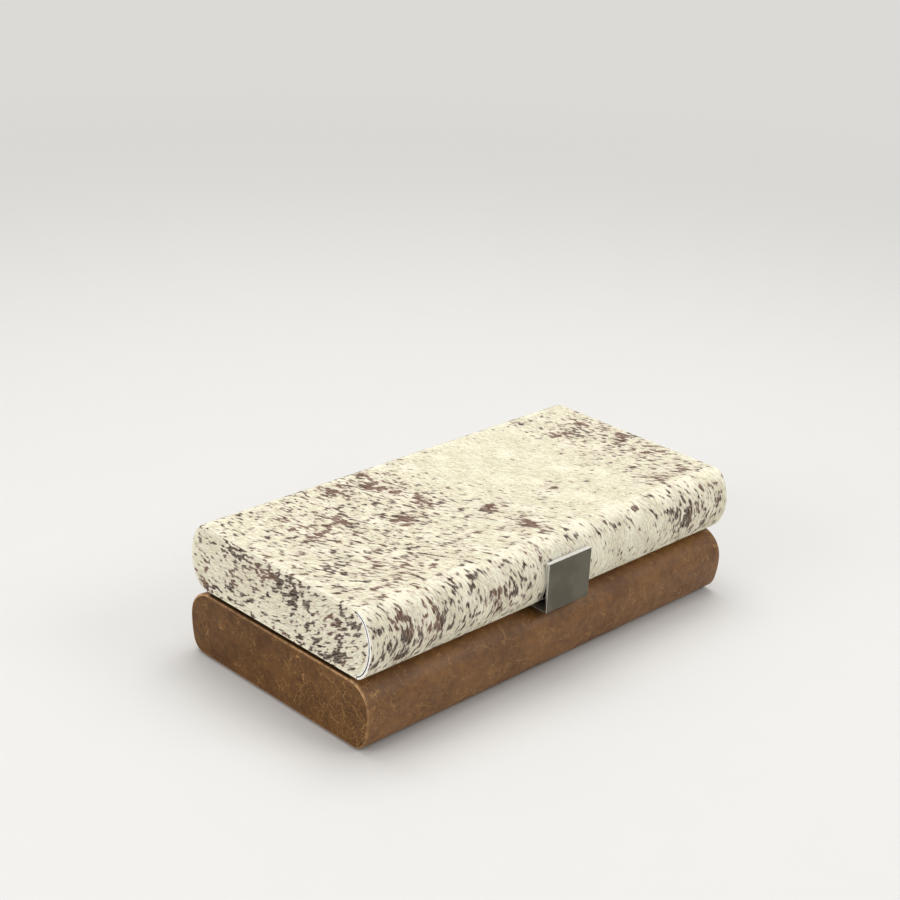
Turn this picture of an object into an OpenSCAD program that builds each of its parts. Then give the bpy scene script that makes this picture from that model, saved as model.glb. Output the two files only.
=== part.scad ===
// Stationery box: a lined wooden casket in two bullnose halves.
// The lid is wrapped in hair-on hide and swings on two stop hinges in the back joint.
// The base is wrapped in leather. A steel clasp plate with a foot pulls to magnets in the base.
// Millimetres. Origin: centre of the underside, on the surface that the box stands on.
// +X runs along the length, -Y faces the clasp side, +Z is up.

/* [Outline] */
// Length over both end faces
box_l = 300; // [220:1:360]
// Depth over the bulging front and back
box_d = 153.6; // [150:0.2:180]
// Height of the base's rim above the surface it stands on
base_top = 41; // [38:0.2:46]
// Height of the lid from its rim to its top
lid_h = 40.5; // [37:0.1:46]
// Gap between the rims, which the closed hinges and the clasp's foot fill
rim_gap = 2.1; // [1.9:0.1:2.5]
// Radius of the base's lower long edges
base_low_r = 10; // [7:0.5:11]
// Radius of the base's long edges at its rim
base_rim_r = 17; // [12:0.5:17]
// Radius of the crown between the base's long edges
base_crown_r = 54; // [40:1:90]
// Height of the base's widest line above its underside
base_crown_rise = 22.4; // [18:0.2:23]
// Radius of the lid's long edges at its rim
lid_rim_r = 13; // [10:0.5:15]
// How much of these edges' roundness the flat rim cuts off
lid_rim_cut = 1; // [0:0.1:2]
// Radius of the lid's upper long edges
lid_top_r = 11; // [8:0.5:13]
// Radius of the crown between the lid's long edges
lid_crown_r = 28.6; // [26:0.2:60]
// Height of the lid's widest line above its rim
lid_crown_rise = 19.9; // [18:0.1:21]

/* [Covering] */
// Thickness of the base's leather
leather_t = 1.3; // [1:0.1:1.8]
// Thickness of the lid's hide
hide_t = 1.3; // [1:0.1:1.8]
// Thickness of the underlay sheet
underlay_t = 0.8; // [0.6:0.1:1.5]
// Distance from the end faces to the edge of the underlay
underlay_inset = 5; // [2:0.5:12]

/* [Carcass] */
// Half the clear length between the base's end boards
base_in_x = 140; // [100:1:141]
// Half the clear depth between the base's rails
base_in_y = 58; // [50:0.5:58]
// Thickness of the floor board and the top board
board_t = 5; // [4:0.1:7]
// Thickness of the tongue round these boards
tongue_t = 1.6; // [1:0.1:2]
// Depth of the groove that takes the tongue
groove_d = 3.5; // [2:0.1:4]
// Diameter of the dowels between rails and end boards
dowel_d = 6; // [4:0.5:7]
// Length of each dowel
dowel_l = 20; // [16:1:30]

/* [Lining] */
// Thickness of the base's lining boards, whose tops form the lip
lip_t = 1.5; // [1.2:0.1:2]
// Height of the lip above the base's rim
lip_rise = 5.5; // [3:0.5:8]
// Play between the lip and the lid's lining
lip_play = 0.7; // [0.5:0.1:1]
// Thickness of the lid's lining boards
lid_lining_t = 1.2; // [0.8:0.1:1.4]
// Thickness of the floor lining and the top lining
sheet_t = 1; // [0.6:0.1:2]

/* [Hinges] */
// Distance of each hinge's middle from the middle of the box
hinge_x = 95; // [50:1:95]
// Width of a hinge
hinge_w = 38; // [30:1:50]
// Distance of the hinge axis from the line of the bulging back
hinge_inset = 5.8; // [5.4:0.1:6.4]
// Thickness of a hinge leaf
leaf_t = 1; // [0.8:0.1:1.1]
// Diameter of a hinge pin
pin_d = 2; // [1.6:0.1:2.2]
// Angle at which the hinges stop the lid
open_angle = 95; // [90:1:98]

/* [Clasp] */
// Width of the clasp plate
clasp_w = 35.8; // [24:0.2:60]
// Height of the plate's top edge above the lid's rim
clasp_rise = 30.4; // [26:0.2:34]
// Thickness of the plate, its foot and its back leaf
clasp_t = 1.3; // [1:0.1:1.4]
// Height of the back leaf's lower edge above the lid's rim
clasp_leaf_low = 7; // [6:0.5:9]
// Diameter of a catch magnet
magnet_d = 5; // [3:0.5:5.5]
// Depth of a catch magnet
magnet_h = 4; // [2:0.5:8]

/* [Hidden] */

$fn = 48;
edge_steps = 9;
crown_steps = 8;
past = 1;
left = -1;
right = 1;
front = -1;
back = 1;

half_x = box_l / 2;
half_y = box_d / 2;
lid_rim = base_top + rim_gap;
lid_top = lid_rim + lid_h;

// Each half of the box: lowest and highest level, radius of its lower and upper long edges, how
// much the lowest level cuts off the lower ones, radius of the crown, and its widest line's level.
BASE = [underlay_t, base_top, base_low_r, base_rim_r, 0, base_crown_r, underlay_t + base_crown_rise];
LID = [lid_rim, lid_top, lid_rim_r, lid_top_r, lid_rim_cut, lid_crown_r, lid_rim + lid_crown_rise];

// Clear inner size of the lid's carcass: its lining drops over the lip with some play.
lid_in_x = base_in_x + lip_play + lid_lining_t;
lid_in_y = base_in_y + lip_play + lid_lining_t;

// Levels of the boards and of the tongue in the middle of each.
floor_low = underlay_t + leather_t;
floor_high = floor_low + board_t;
roof_high = lid_top - hide_t;
roof_low = roof_high - board_t;
base_lining_low = floor_high + sheet_t;
lid_lining_high = roof_low - sheet_t;
lining_setback = 0.3;
lip_ease = 0.5;

// Dowels: two at each corner of each half, along X.
dowel_inset = 9.3;
dowel_y = half_y - dowel_inset;
dowel_sink = 5;
dowel_in = 13;

// Hinges: the barrel is as thick as both leaves and the gap between them.
hinge_y = half_y - hinge_inset;
hinge_z = base_top + rim_gap / 2;
barrel_r = rim_gap / 2 + leaf_t;
pin_play = 0.05;
knuckles = 5;
knuckle_w = hinge_w / knuckles;
knuckle_gap = 0.1;
leaf_play = 0.3;
leaf_in_y = lid_in_y + leaf_play;
leaf_screw_inset = 4.2;
leaf_screw_y = leaf_in_y + leaf_screw_inset;
leaf_screw_step = hinge_w / 3;
pin_head_r = 1.5;
pin_head_t = 0.6;
stop_reach = 2.6;
stop_play = 0.06;

// Screws: countersunk head, shank and point.
screw_head_r = 2;
screw_r = 1.1;
screw_l = 10;
head_t = 0.9;
slot_w = 0.5;
slot_d = 0.4;

// Clasp: the back leaf lies on the hide up to the crown of the bulge and stands behind the plate above it.
leaf_stand = 1.5;
leaf_lap = 2;
plate_back_y = half_y + leaf_stand;
plate_front_y = plate_back_y + clasp_t;
plate_top = lid_rim + clasp_rise;
foot_t = 1.5;
foot_low = lid_rim - foot_t;
foot_setback = 0.6;
foot_in_y = lid_in_y + foot_setback;
foot_screw_inset = 12.6;
foot_screw_y = half_y - foot_screw_inset;
foot_screw_x = 0.37 * clasp_w;
bend_r = 1.6;
rivet_x = 0.2 * clasp_w;
rivet_rise = 12;
rivet_r = 1;
rivet_l = 8;
rivet_head_r = 1.6;
rivet_head_h = 0.9;
rivet_head_step = 30;
rivet_stand = 0.3;
magnet_x = 0.28 * clasp_w;
magnet_setback = 3.5;
magnet_y = base_in_y + magnet_setback;
magnet_sink = 0.6;

HIDE = [0.90, 0.86, 0.76];
LEATHER = [0.42, 0.25, 0.15];
WOOD = [0.76, 0.62, 0.44];
SUEDE = [0.32, 0.24, 0.19];
STEEL = [0.72, 0.72, 0.70];
NICKEL = [0.66, 0.64, 0.60];
MAGNET = [0.35, 0.36, 0.38];

// Points along an arc of radius r round [y, z], without its last point.
function arc(y, z, r, from, to, steps) =
    [for (i = [0:steps - 1]) let (a = from + (to - from) * i / steps) [y + r * cos(a), z + r * sin(a)]];

// Height of a half's middle.
function mid(half) = (half[0] + half[1]) / 2;

// Levels of the centres of the lower edge, the upper edge and the crown.
function low_z(half) = half[0] - half[4] + half[2];
function high_z(half) = half[1] - half[3];
function crown_z(half) = half[6];

// Distances of these centres from the middle of the depth: each edge is tangent to the crown.
function crown_y(half) = half_y - half[5];
function edge_y(half, r, z) = crown_y(half) + sqrt(pow(half[5] - r, 2) - pow(z - crown_z(half), 2));
function low_y(half) = edge_y(half, half[2], low_z(half));
function high_y(half) = edge_y(half, half[3], high_z(half));

// Angles where the lower edge starts, t inside the outer face, and where the edges meet the crown.
function start_angle(half, t) = -asin(1 - half[4] / (half[2] - t));
function low_angle(half) = atan2(low_z(half) - crown_z(half), low_y(half) - crown_y(half));
function high_angle(half) = atan2(high_z(half) - crown_z(half), high_y(half) - crown_y(half));

// One long side of a half seen from the end, t inside its outer face, from low to high:
// the lower edge's arc, the flatter crown and the upper edge's arc, each tangent to the next.
function side_points(half, t) = concat(
    arc(low_y(half), low_z(half), half[2] - t, start_angle(half, t), low_angle(half), edge_steps),
    arc(crown_y(half), crown_z(half), half[5] - t, low_angle(half), high_angle(half), crown_steps),
    arc(high_y(half), high_z(half), half[3] - t, high_angle(half), 90, edge_steps),
    [[high_y(half), half[1] - t]]);

function mirrored(points) = [for (i = [len(points) - 1:-1:0]) [-points[i][0], points[i][1]]];

// The whole end outline of a half, t inside its outer face.
module outline(half, t) {
    points = side_points(half, t);
    polygon(concat(points, mirrored(points)));
}

// Stands a Y-Z outline up and runs it along X.
module along_x(x0, x1) {
    translate([x0, 0, 0])
        rotate([90, 0, 90])
            linear_extrude(x1 - x0)
                children();
}

// A box between two corners.
module block(x0, x1, y0, y1, z0, z1) {
    translate([x0, y0, z0])
        cube([x1 - x0, y1 - y0, z1 - z0]);
}

// A round bar along X.
module bar(x0, x1, y, z, r) {
    translate([x0, y, z])
        rotate([0, 90, 0])
            cylinder(h = x1 - x0, r = r);
}

// ---- Carcass ----

// The tongue that runs round a board, or the groove that it cuts.
module tongue(in_x, in_y, low) {
    z = low + (board_t - tongue_t) / 2;
    block(-in_x - groove_d, in_x + groove_d, -in_y - groove_d, in_y + groove_d, z, z + tongue_t);
}

module tongued_board(in_x, in_y, low) {
    block(-in_x, in_x, -in_y, in_y, low, low + board_t);
    tongue(in_x, in_y, low);
}

// Two dowels at each of the four corners of a half.
module dowels(half, in_x) {
    x0 = in_x + dowel_sink - dowel_l;
    for (end = [left, right], side = [front, back], z = [half[0] + dowel_in, half[1] - dowel_in])
        bar(end == right ? x0 : -x0 - dowel_l, end == right ? x0 + dowel_l : -x0,
            side * dowel_y, z, dowel_d / 2);
}

// A rail fills one bulging side between the end boards.
module rail(half, skin, in_x, in_y, low, side) {
    difference() {
        intersection() {
            along_x(-in_x, in_x) outline(half, skin);
            block(-in_x, in_x, side == front ? -box_d : in_y, side == front ? -in_y : box_d,
                half[0], half[1]);
        }
        tongue(in_x, in_y, low);
        dowels(half, in_x);
    }
}

// An end board has the whole outline of its half, less the covering.
module end_board(half, skin, in_x, in_y, low, end) {
    outer = half_x - skin;
    difference() {
        along_x(end == left ? -outer : in_x, end == left ? -in_x : outer) outline(half, skin);
        tongue(in_x, in_y, low);
        dowels(half, in_x);
    }
}

// ---- Covering ----

// The sheet round front, board side and back; its mouth is open between the rails.
module wrap(half, skin, in_y, mouth_z0, mouth_z1) {
    difference() {
        along_x(-half_x, half_x) outline(half, 0);
        along_x(-half_x - past, half_x + past) outline(half, skin);
        block(-half_x - past, half_x + past, -in_y, in_y, mouth_z0, mouth_z1);
    }
}

// The inset panel on an end face, turned over the end board's rim.
module end_panel(half, skin, in_x, in_y, rim_z0, end) {
    x0 = end == left ? -half_x : half_x - skin;
    along_x(x0, x0 + skin) outline(half, skin);
    block(end == left ? -half_x : in_x, end == left ? -in_x : half_x, -in_y, in_y,
        rim_z0, rim_z0 + skin);
}

// ---- Lining ----

// A lining board's section: thickness t from y, with eased upper edges.
module eased_section(y, t, z0, z1) {
    polygon([[y, z0], [y + t, z0], [y + t, z1 - lip_ease], [y + t - lip_ease, z1],
        [y + lip_ease, z1], [y, z1 - lip_ease]]);
}

module long_lip(side) {
    along_x(-base_in_x, base_in_x)
        eased_section(side == front ? -base_in_y : base_in_y - lip_t, lip_t,
            base_lining_low, base_top + lip_rise);
}

module end_lip(end) {
    rotate([0, 0, 90])
        along_x(-base_in_y + lip_t, base_in_y - lip_t)
            eased_section(end == left ? base_in_x - lip_t : -base_in_x, lip_t,
                base_lining_low, base_top + lip_rise);
}

// ---- Fasteners ----

// A countersunk screw that points down from z = 0.
module screw() {
    difference() {
        screw_body();
        block(-screw_head_r, screw_head_r, -slot_w / 2, slot_w / 2, -slot_d, past);
    }
}

module screw_body() {
    rotate_extrude()
        polygon([[0, 0], [screw_head_r, 0], [screw_r, -head_t], [screw_r, -screw_l + screw_r],
            [0, -screw_l]]);
}

// Puts its child at each screw place of both base leaves, at their upper face.
module at_base_leaf_screws() {
    for (side = [left, right], i = [-1:1])
        translate([side * hinge_x + i * leaf_screw_step, leaf_screw_y, base_top])
            children();
}

// Likewise for the lid leaves, pointing up from their lower face.
module at_lid_leaf_screws() {
    for (side = [left, right], i = [-1:1])
        translate([side * hinge_x + i * leaf_screw_step, leaf_screw_y, lid_rim])
            mirror([0, 0, 1])
                children();
}

// The two screws up through the clasp's foot.
module at_foot_screws() {
    for (side = [left, right])
        translate([side * foot_screw_x, -foot_screw_y, foot_low])
            mirror([0, 0, 1])
                children();
}

// The two rivets through the clasp's back leaf, pointing into the lid.
module rivets() {
    for (side = [left, right])
        translate([side * rivet_x, -half_y - rivet_stand, lid_rim + rivet_rise])
            rotate([-90, 0, 0])
                rotate_extrude()
                    polygon(concat(
                        [for (a = [0:rivet_head_step:90]) [rivet_head_r * sin(a), -rivet_head_h * cos(a)]],
                        [[rivet_r, 0], [rivet_r, rivet_l], [0, rivet_l]]));
}

// ---- Hinges ----

// The space of one knuckle along X, drawn in by a gap at each side.
function knuckle_x(side, i, gap) = side * hinge_x - hinge_w / 2 + i * knuckle_w + gap;

module knuckle(side, i, gap) {
    bar(knuckle_x(side, i, gap), knuckle_x(side, i, gap) + knuckle_w - 2 * gap, hinge_y, hinge_z, barrel_r);
}

// A leaf's flat plate, and the stretch that joins it to each of its own knuckles.
module leaf_plate(side, low, own, gap) {
    x0 = side * hinge_x - hinge_w / 2;
    block(x0, x0 + hinge_w, leaf_in_y, hinge_y - barrel_r - leaf_play, low, low + leaf_t);
    for (i = own)
        block(knuckle_x(side, i, gap), knuckle_x(side, i, gap) + knuckle_w - 2 * gap,
            leaf_in_y, hinge_y, low, low + leaf_t);
}

module pin_bore(side, r) {
    bar(side * hinge_x - hinge_w, side * hinge_x + hinge_w, hinge_y, hinge_z, r);
}

module base_leaf(side) {
    difference() {
        union() {
            leaf_plate(side, base_top - leaf_t, [0, 2, 4], 0);
            for (i = [0, 2, 4]) knuckle(side, i, 0);
        }
        pin_bore(side, pin_d / 2);
        at_base_leaf_screws() screw_body();
    }
}

// The stop on a lid knuckle is drawn as it lands on the base leaf's edge, then turned back.
module stop_lug(side, i) {
    x0 = knuckle_x(side, i, knuckle_gap);
    edge = barrel_r + leaf_play - stop_play;
    translate([0, hinge_y, hinge_z])
        rotate([open_angle, 0, 0])
            block(x0, x0 + knuckle_w - 2 * knuckle_gap, -edge, -pin_d / 2, -stop_reach, -pin_d / 2);
}

module lid_leaf(side) {
    difference() {
        union() {
            leaf_plate(side, lid_rim, [1, 3], knuckle_gap);
            for (i = [1, 3]) {
                knuckle(side, i, knuckle_gap);
                stop_lug(side, i);
            }
        }
        pin_bore(side, pin_d / 2 + pin_play);
        at_lid_leaf_screws() screw_body();
    }
}

module hinge_pin(side) {
    x0 = side * hinge_x - hinge_w / 2;
    bar(x0, x0 + hinge_w, hinge_y, hinge_z, pin_d / 2);
    bar(x0 - pin_head_t, x0, hinge_y, hinge_z, pin_head_r);
    bar(x0 + hinge_w, x0 + hinge_w + pin_head_t, hinge_y, hinge_z, pin_head_r);
}

// The shallow places where leaves are let into the rims.
module leaf_pockets(z0, z1) {
    for (side = [left, right])
        block(side * hinge_x - hinge_w / 2, side * hinge_x + hinge_w / 2, leaf_in_y, hinge_y, z0, z1);
}

// ---- Clasp ----

// The bent section: foot, front plate and the return over the back leaf at its top.
module clasp_section() {
    polygon(concat(
        [[-foot_in_y, lid_rim], [-foot_in_y, foot_low]],
        [for (a = [270:-15:180]) [-plate_front_y + bend_r + bend_r * cos(a),
            foot_low + bend_r + bend_r * sin(a)]],
        [[-plate_front_y, plate_top], [-half_y, plate_top], [-half_y, plate_top - clasp_t],
            [-plate_back_y, plate_top - clasp_t], [-plate_back_y, lid_rim]]));
}

// The part of the back leaf that hugs the hide, from its lower edge to the crown.
module curved_leaf() {
    difference() {
        along_x(-clasp_w / 2, clasp_w / 2) outline(LID, -leaf_stand);
        along_x(-clasp_w, clasp_w) outline(LID, 0);
        block(-clasp_w, clasp_w, -foot_in_y, box_d, 0, 2 * lid_top);
        block(-clasp_w, clasp_w, -box_d, 0, 0, lid_rim + clasp_leaf_low);
        block(-clasp_w, clasp_w, -box_d, 0, crown_z(LID), 2 * lid_top);
    }
}

module magnets(r) {
    for (side = [left, right])
        translate([side * magnet_x, -magnet_y, base_top - magnet_sink - magnet_h])
            cylinder(h = magnet_h, r = r);
}

// ---- Base ----

module underlay() {
    color(SUEDE)
        block(-half_x + underlay_inset, half_x - underlay_inset,
            -low_y(BASE) + underlay_inset, low_y(BASE) - underlay_inset, 0, underlay_t);
}

module floor_board() {
    color(WOOD) tongued_board(base_in_x, base_in_y, floor_low);
}

module base_front_rail() {
    color(WOOD)
        difference() {
            rail(BASE, leather_t, base_in_x, base_in_y, floor_low, front);
            magnets(magnet_d / 2);
        }
}

module base_back_rail() {
    color(WOOD)
        difference() {
            rail(BASE, leather_t, base_in_x, base_in_y, floor_low, back);
            at_base_leaf_screws() screw_body();
        }
}

module base_left_end() {
    color(WOOD) end_board(BASE, leather_t, base_in_x, base_in_y, floor_low, left);
}

module base_right_end() {
    color(WOOD) end_board(BASE, leather_t, base_in_x, base_in_y, floor_low, right);
}

module base_dowels() {
    color(WOOD) dowels(BASE, base_in_x);
}

module base_leather() {
    color(LEATHER)
        difference() {
            wrap(BASE, leather_t, base_in_y, mid(BASE), base_top + past);
            leaf_pockets(base_top - leaf_t, base_top + past);
            at_base_leaf_screws() screw_body();
            magnets(magnet_d / 2);
        }
}

module base_left_leather() {
    color(LEATHER) end_panel(BASE, leather_t, base_in_x, base_in_y, base_top - leather_t, left);
}

module base_right_leather() {
    color(LEATHER) end_panel(BASE, leather_t, base_in_x, base_in_y, base_top - leather_t, right);
}

module floor_lining() {
    color(SUEDE) block(-base_in_x, base_in_x, -base_in_y, base_in_y, floor_high, base_lining_low);
}

module base_front_lining() {
    color(SUEDE) long_lip(front);
}

module base_back_lining() {
    color(SUEDE) long_lip(back);
}

module base_left_lining() {
    color(SUEDE) end_lip(left);
}

module base_right_lining() {
    color(SUEDE) end_lip(right);
}

module catch_magnets() {
    color(MAGNET) magnets(magnet_d / 2);
}

module left_hinge_base_leaf() {
    color(NICKEL) base_leaf(left);
}

module right_hinge_base_leaf() {
    color(NICKEL) base_leaf(right);
}

module left_hinge_pin() {
    color(NICKEL) hinge_pin(left);
}

module right_hinge_pin() {
    color(NICKEL) hinge_pin(right);
}

module base_hinge_screws() {
    color(NICKEL) at_base_leaf_screws() screw();
}

// ---- Lid ----

module top_board() {
    color(WOOD) tongued_board(lid_in_x, lid_in_y, roof_low);
}

module lid_front_rail() {
    color(WOOD)
        difference() {
            rail(LID, hide_t, lid_in_x, lid_in_y, roof_low, front);
            at_foot_screws() screw_body();
            rivets();
        }
}

module lid_back_rail() {
    color(WOOD)
        difference() {
            rail(LID, hide_t, lid_in_x, lid_in_y, roof_low, back);
            at_lid_leaf_screws() screw_body();
        }
}

module lid_left_end() {
    color(WOOD) end_board(LID, hide_t, lid_in_x, lid_in_y, roof_low, left);
}

module lid_right_end() {
    color(WOOD) end_board(LID, hide_t, lid_in_x, lid_in_y, roof_low, right);
}

module lid_dowels() {
    color(WOOD) dowels(LID, lid_in_x);
}

module lid_hide() {
    color(HIDE)
        difference() {
            wrap(LID, hide_t, lid_in_y, lid_rim - past, mid(LID));
            leaf_pockets(lid_rim - past, lid_rim + leaf_t);
            at_lid_leaf_screws() screw_body();
            at_foot_screws() screw_body();
            rivets();
        }
}

module lid_left_hide() {
    color(HIDE) end_panel(LID, hide_t, lid_in_x, lid_in_y, lid_rim, left);
}

module lid_right_hide() {
    color(HIDE) end_panel(LID, hide_t, lid_in_x, lid_in_y, lid_rim, right);
}

module top_lining() {
    color(SUEDE) block(-lid_in_x, lid_in_x, -lid_in_y, lid_in_y, lid_lining_high, roof_low);
}

module lid_front_lining() {
    color(SUEDE)
        block(-lid_in_x, lid_in_x, -lid_in_y, -lid_in_y + lid_lining_t,
            lid_rim + lining_setback, lid_lining_high);
}

module lid_back_lining() {
    color(SUEDE)
        block(-lid_in_x, lid_in_x, lid_in_y - lid_lining_t, lid_in_y,
            lid_rim + lining_setback, lid_lining_high);
}

module lid_left_lining() {
    color(SUEDE)
        block(-lid_in_x, -lid_in_x + lid_lining_t, -lid_in_y + lid_lining_t, lid_in_y - lid_lining_t,
            lid_rim + lining_setback, lid_lining_high);
}

module lid_right_lining() {
    color(SUEDE)
        block(lid_in_x - lid_lining_t, lid_in_x, -lid_in_y + lid_lining_t, lid_in_y - lid_lining_t,
            lid_rim + lining_setback, lid_lining_high);
}

module clasp_plate() {
    color(STEEL)
        difference() {
            along_x(-clasp_w / 2, clasp_w / 2) clasp_section();
            at_foot_screws() screw_body();
        }
}

module clasp_back_leaf() {
    color(STEEL)
        difference() {
            union() {
                curved_leaf();
                block(-clasp_w / 2, clasp_w / 2, -plate_back_y, -half_y, crown_z(LID) - leaf_lap,
                    plate_top - clasp_t);
            }
            rivets();
        }
}

module clasp_rivets() {
    color(STEEL) rivets();
}

module clasp_screws() {
    color(STEEL) at_foot_screws() screw();
}

module left_hinge_lid_leaf() {
    color(NICKEL) lid_leaf(left);
}

module right_hinge_lid_leaf() {
    color(NICKEL) lid_leaf(right);
}

module lid_hinge_screws() {
    color(NICKEL) at_lid_leaf_screws() screw();
}

underlay();
floor_board();
base_front_rail();
base_back_rail();
base_left_end();
base_right_end();
base_dowels();
base_leather();
base_left_leather();
base_right_leather();
floor_lining();
base_front_lining();
base_back_lining();
base_left_lining();
base_right_lining();
catch_magnets();
left_hinge_base_leaf();
right_hinge_base_leaf();
left_hinge_pin();
right_hinge_pin();
base_hinge_screws();
top_board();
lid_front_rail();
lid_back_rail();
lid_left_end();
lid_right_end();
lid_dowels();
lid_hide();
lid_left_hide();
lid_right_hide();
top_lining();
lid_front_lining();
lid_back_lining();
lid_left_lining();
lid_right_lining();
clasp_plate();
clasp_back_leaf();
clasp_rivets();
clasp_screws();
left_hinge_lid_leaf();
right_hinge_lid_leaf();
lid_hinge_screws();
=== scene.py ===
"""Looks of the stationery box: a hide-covered lid and a leather-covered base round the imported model."""

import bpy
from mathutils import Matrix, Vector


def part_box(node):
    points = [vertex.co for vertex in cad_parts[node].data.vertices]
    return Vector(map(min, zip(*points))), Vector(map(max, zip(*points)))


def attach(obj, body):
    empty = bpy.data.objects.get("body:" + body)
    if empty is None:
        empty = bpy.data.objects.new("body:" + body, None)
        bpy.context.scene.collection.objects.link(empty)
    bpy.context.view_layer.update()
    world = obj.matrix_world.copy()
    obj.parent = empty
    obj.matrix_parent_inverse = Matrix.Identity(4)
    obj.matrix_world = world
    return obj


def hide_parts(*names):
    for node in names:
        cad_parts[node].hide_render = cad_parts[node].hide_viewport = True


bl_info = {
    "name": "Stationery box",
    "version": (1, 0, 0),
    "blender": (4, 5, 0),
    "location": "3D View > Sidebar > Box",
    "description": "Builds the hide, leather, lining and metal of a hinged stationery box",
    "category": "Object",
}

import math

import bpy
import numpy as np
from bpy.props import FloatProperty, FloatVectorProperty, PointerProperty
from mathutils import Matrix, Vector

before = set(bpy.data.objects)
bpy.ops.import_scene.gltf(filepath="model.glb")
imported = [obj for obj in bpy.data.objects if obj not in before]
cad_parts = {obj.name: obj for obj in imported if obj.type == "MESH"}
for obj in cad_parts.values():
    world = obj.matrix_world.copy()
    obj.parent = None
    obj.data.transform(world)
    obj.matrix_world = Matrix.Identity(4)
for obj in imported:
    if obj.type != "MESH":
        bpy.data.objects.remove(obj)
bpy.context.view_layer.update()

MM = 0.001
SEED = 9532                 # of every random draw

LID_NODES = {
    "suede": ("top_lining", "lid_front_lining", "lid_back_lining", "lid_left_lining", "lid_right_lining"),
    "wood": ("top_board", "lid_front_rail", "lid_back_rail", "lid_left_end", "lid_right_end", "lid_dowels"),
    "steel": ("clasp_plate", "clasp_back_leaf", "clasp_rivets", "clasp_screws"),
    "nickel": ("left_hinge_lid_leaf", "right_hinge_lid_leaf", "lid_hinge_screws"),
}
BASE_NODES = {
    "suede": ("underlay", "floor_lining", "base_front_lining", "base_back_lining",
              "base_left_lining", "base_right_lining"),
    "wood": ("floor_board", "base_front_rail", "base_back_rail", "base_left_end", "base_right_end",
             "base_dowels"),
    "nickel": ("left_hinge_base_leaf", "right_hinge_base_leaf", "left_hinge_pin", "right_hinge_pin",
               "base_hinge_screws"),
    "magnet": ("catch_magnets",),
}


# ---- Sizes and colours that a user would change ----

def length(name, description, default):
    """A size in metres."""
    return FloatProperty(name=name, description=description, default=default, unit="LENGTH")


def colour(name, description, default):
    return FloatVectorProperty(name=name, description=description, subtype="COLOR", size=3, min=0, max=1,
                               default=default)


class BoxSizes(bpy.types.PropertyGroup):
    """Real sizes of the outline, the coverings and the hair, in metres."""
    lid_rim_radius: length("Lid rim radius", "Radius of the lid's lower long edges", 13 * MM)
    lid_rim_cut: length("Lid rim cut", "How much the lid's flat rim cuts off that radius", 1 * MM)
    lid_crown_radius: length("Lid crown radius", "Radius of the bulge between the lid's long edges",
                             28.6 * MM)
    lid_crown_rise: length("Lid crown rise", "Height of the lid's widest line above its rim", 19.9 * MM)
    lid_top_radius: length("Lid top radius", "Radius of the lid's upper long edges", 11 * MM)
    base_low_radius: length("Base low radius", "Radius of the base's lower long edges", 10 * MM)
    base_crown_radius: length("Base crown radius", "Radius of the bulge between the base's long edges",
                              54 * MM)
    base_crown_rise: length("Base crown rise", "Height of the base's widest line above its underside",
                            22.4 * MM)
    base_rim_radius: length("Base rim radius", "Radius of the base's upper long edges", 17 * MM)
    skin: length("Covering thickness", "Thickness of the hide and of the leather", 1.3 * MM)
    joint: length("Joint", "Open joint between the wrap's cut edge and the end hide", 0.7 * MM)
    pale_edge: length("Pale edge", "Bare width of the end hide's cut edge", 0.8 * MM)
    fold_radius: length("Fold radius", "Radius of the hide where the top turns over to the end faces",
                        2.4 * MM)
    hair_length: length("Hair length", "Length of the longest hair", 4.5 * MM)
    hair_width: length("Hair width", "Width of a strand at its root", 0.34 * MM)
    hair_spacing: length("Hair spacing", "Distance between neighbouring strands", 1.3 * MM)


class BoxColours(bpy.types.PropertyGroup):
    """Base colours, scene linear."""
    hide_cream: colour("Cream hair", "Pale ground of the hide", (0.95, 0.91, 0.73))
    hide_speck: colour("Dark hair", "Grey-brown speckles", (0.064, 0.038, 0.026))
    hide_russet: colour("Russet hair", "Warmer speckles", (0.185, 0.092, 0.062))
    hide_blush: colour("Skin tint", "Pinkish skin that shows round the dark hair", (0.70, 0.53, 0.46))
    cut_edge: colour("Cut edge", "Pale raw edge of the hide", (0.97, 0.965, 0.93))
    leather: colour("Leather", "Ground of the brown leather", (0.205, 0.086, 0.017))
    leather_dark: colour("Dark leather", "Waxed, darker places", (0.112, 0.045, 0.010))
    leather_vein: colour("Veined leather", "Golden pull-up veins", (0.42, 0.225, 0.070))
    leather_worn: colour("Worn leather", "Rubbed edges", (0.62, 0.36, 0.16))
    suede: colour("Suede", "Lining and underlay", (0.085, 0.055, 0.040))
    wood: colour("Wood", "Carcass", (0.55, 0.37, 0.21))
    # Dark, to paint the reflection of dark surroundings on the clasp's large faces.
    steel: colour("Steel", "Polished clasp", (0.115, 0.105, 0.078))
    # Painted highlight on the clasp's edges, sides, top and foot.
    steel_edge: colour("Steel edge", "Bright ground edges of the clasp", (0.66, 0.65, 0.63))
    nickel: colour("Nickel", "Hinges and their screws", (0.58, 0.55, 0.50))
    floor: colour("Floor", "Plain floor", (0.71, 0.70, 0.68))


class BoxView(bpy.types.PropertyGroup):
    """Camera, worked out from the edges of the photographed box."""
    place: FloatVectorProperty(
        name="Place", description="Where the camera stands", subtype="TRANSLATION", size=3,
        default=(-0.7068, -0.6690, 0.5264))
    yaw: FloatProperty(
        name="Yaw", description="Turn to the right from straight ahead", subtype="ANGLE",
        default=math.radians(45.70))
    pitch: FloatProperty(
        name="Pitch", description="Tilt downwards", subtype="ANGLE", default=math.radians(23.11))
    roll: FloatProperty(
        name="Roll", description="Tilt of the horizon", subtype="ANGLE", default=math.radians(3.05))
    lens: FloatProperty(
        name="Lens", description="Focal length for a 36 mm sensor, in millimetres", default=71.99)


def sizes():
    return bpy.context.scene.box_sizes


def colours():
    return bpy.context.scene.box_colours


# ---- Node helpers ----

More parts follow.
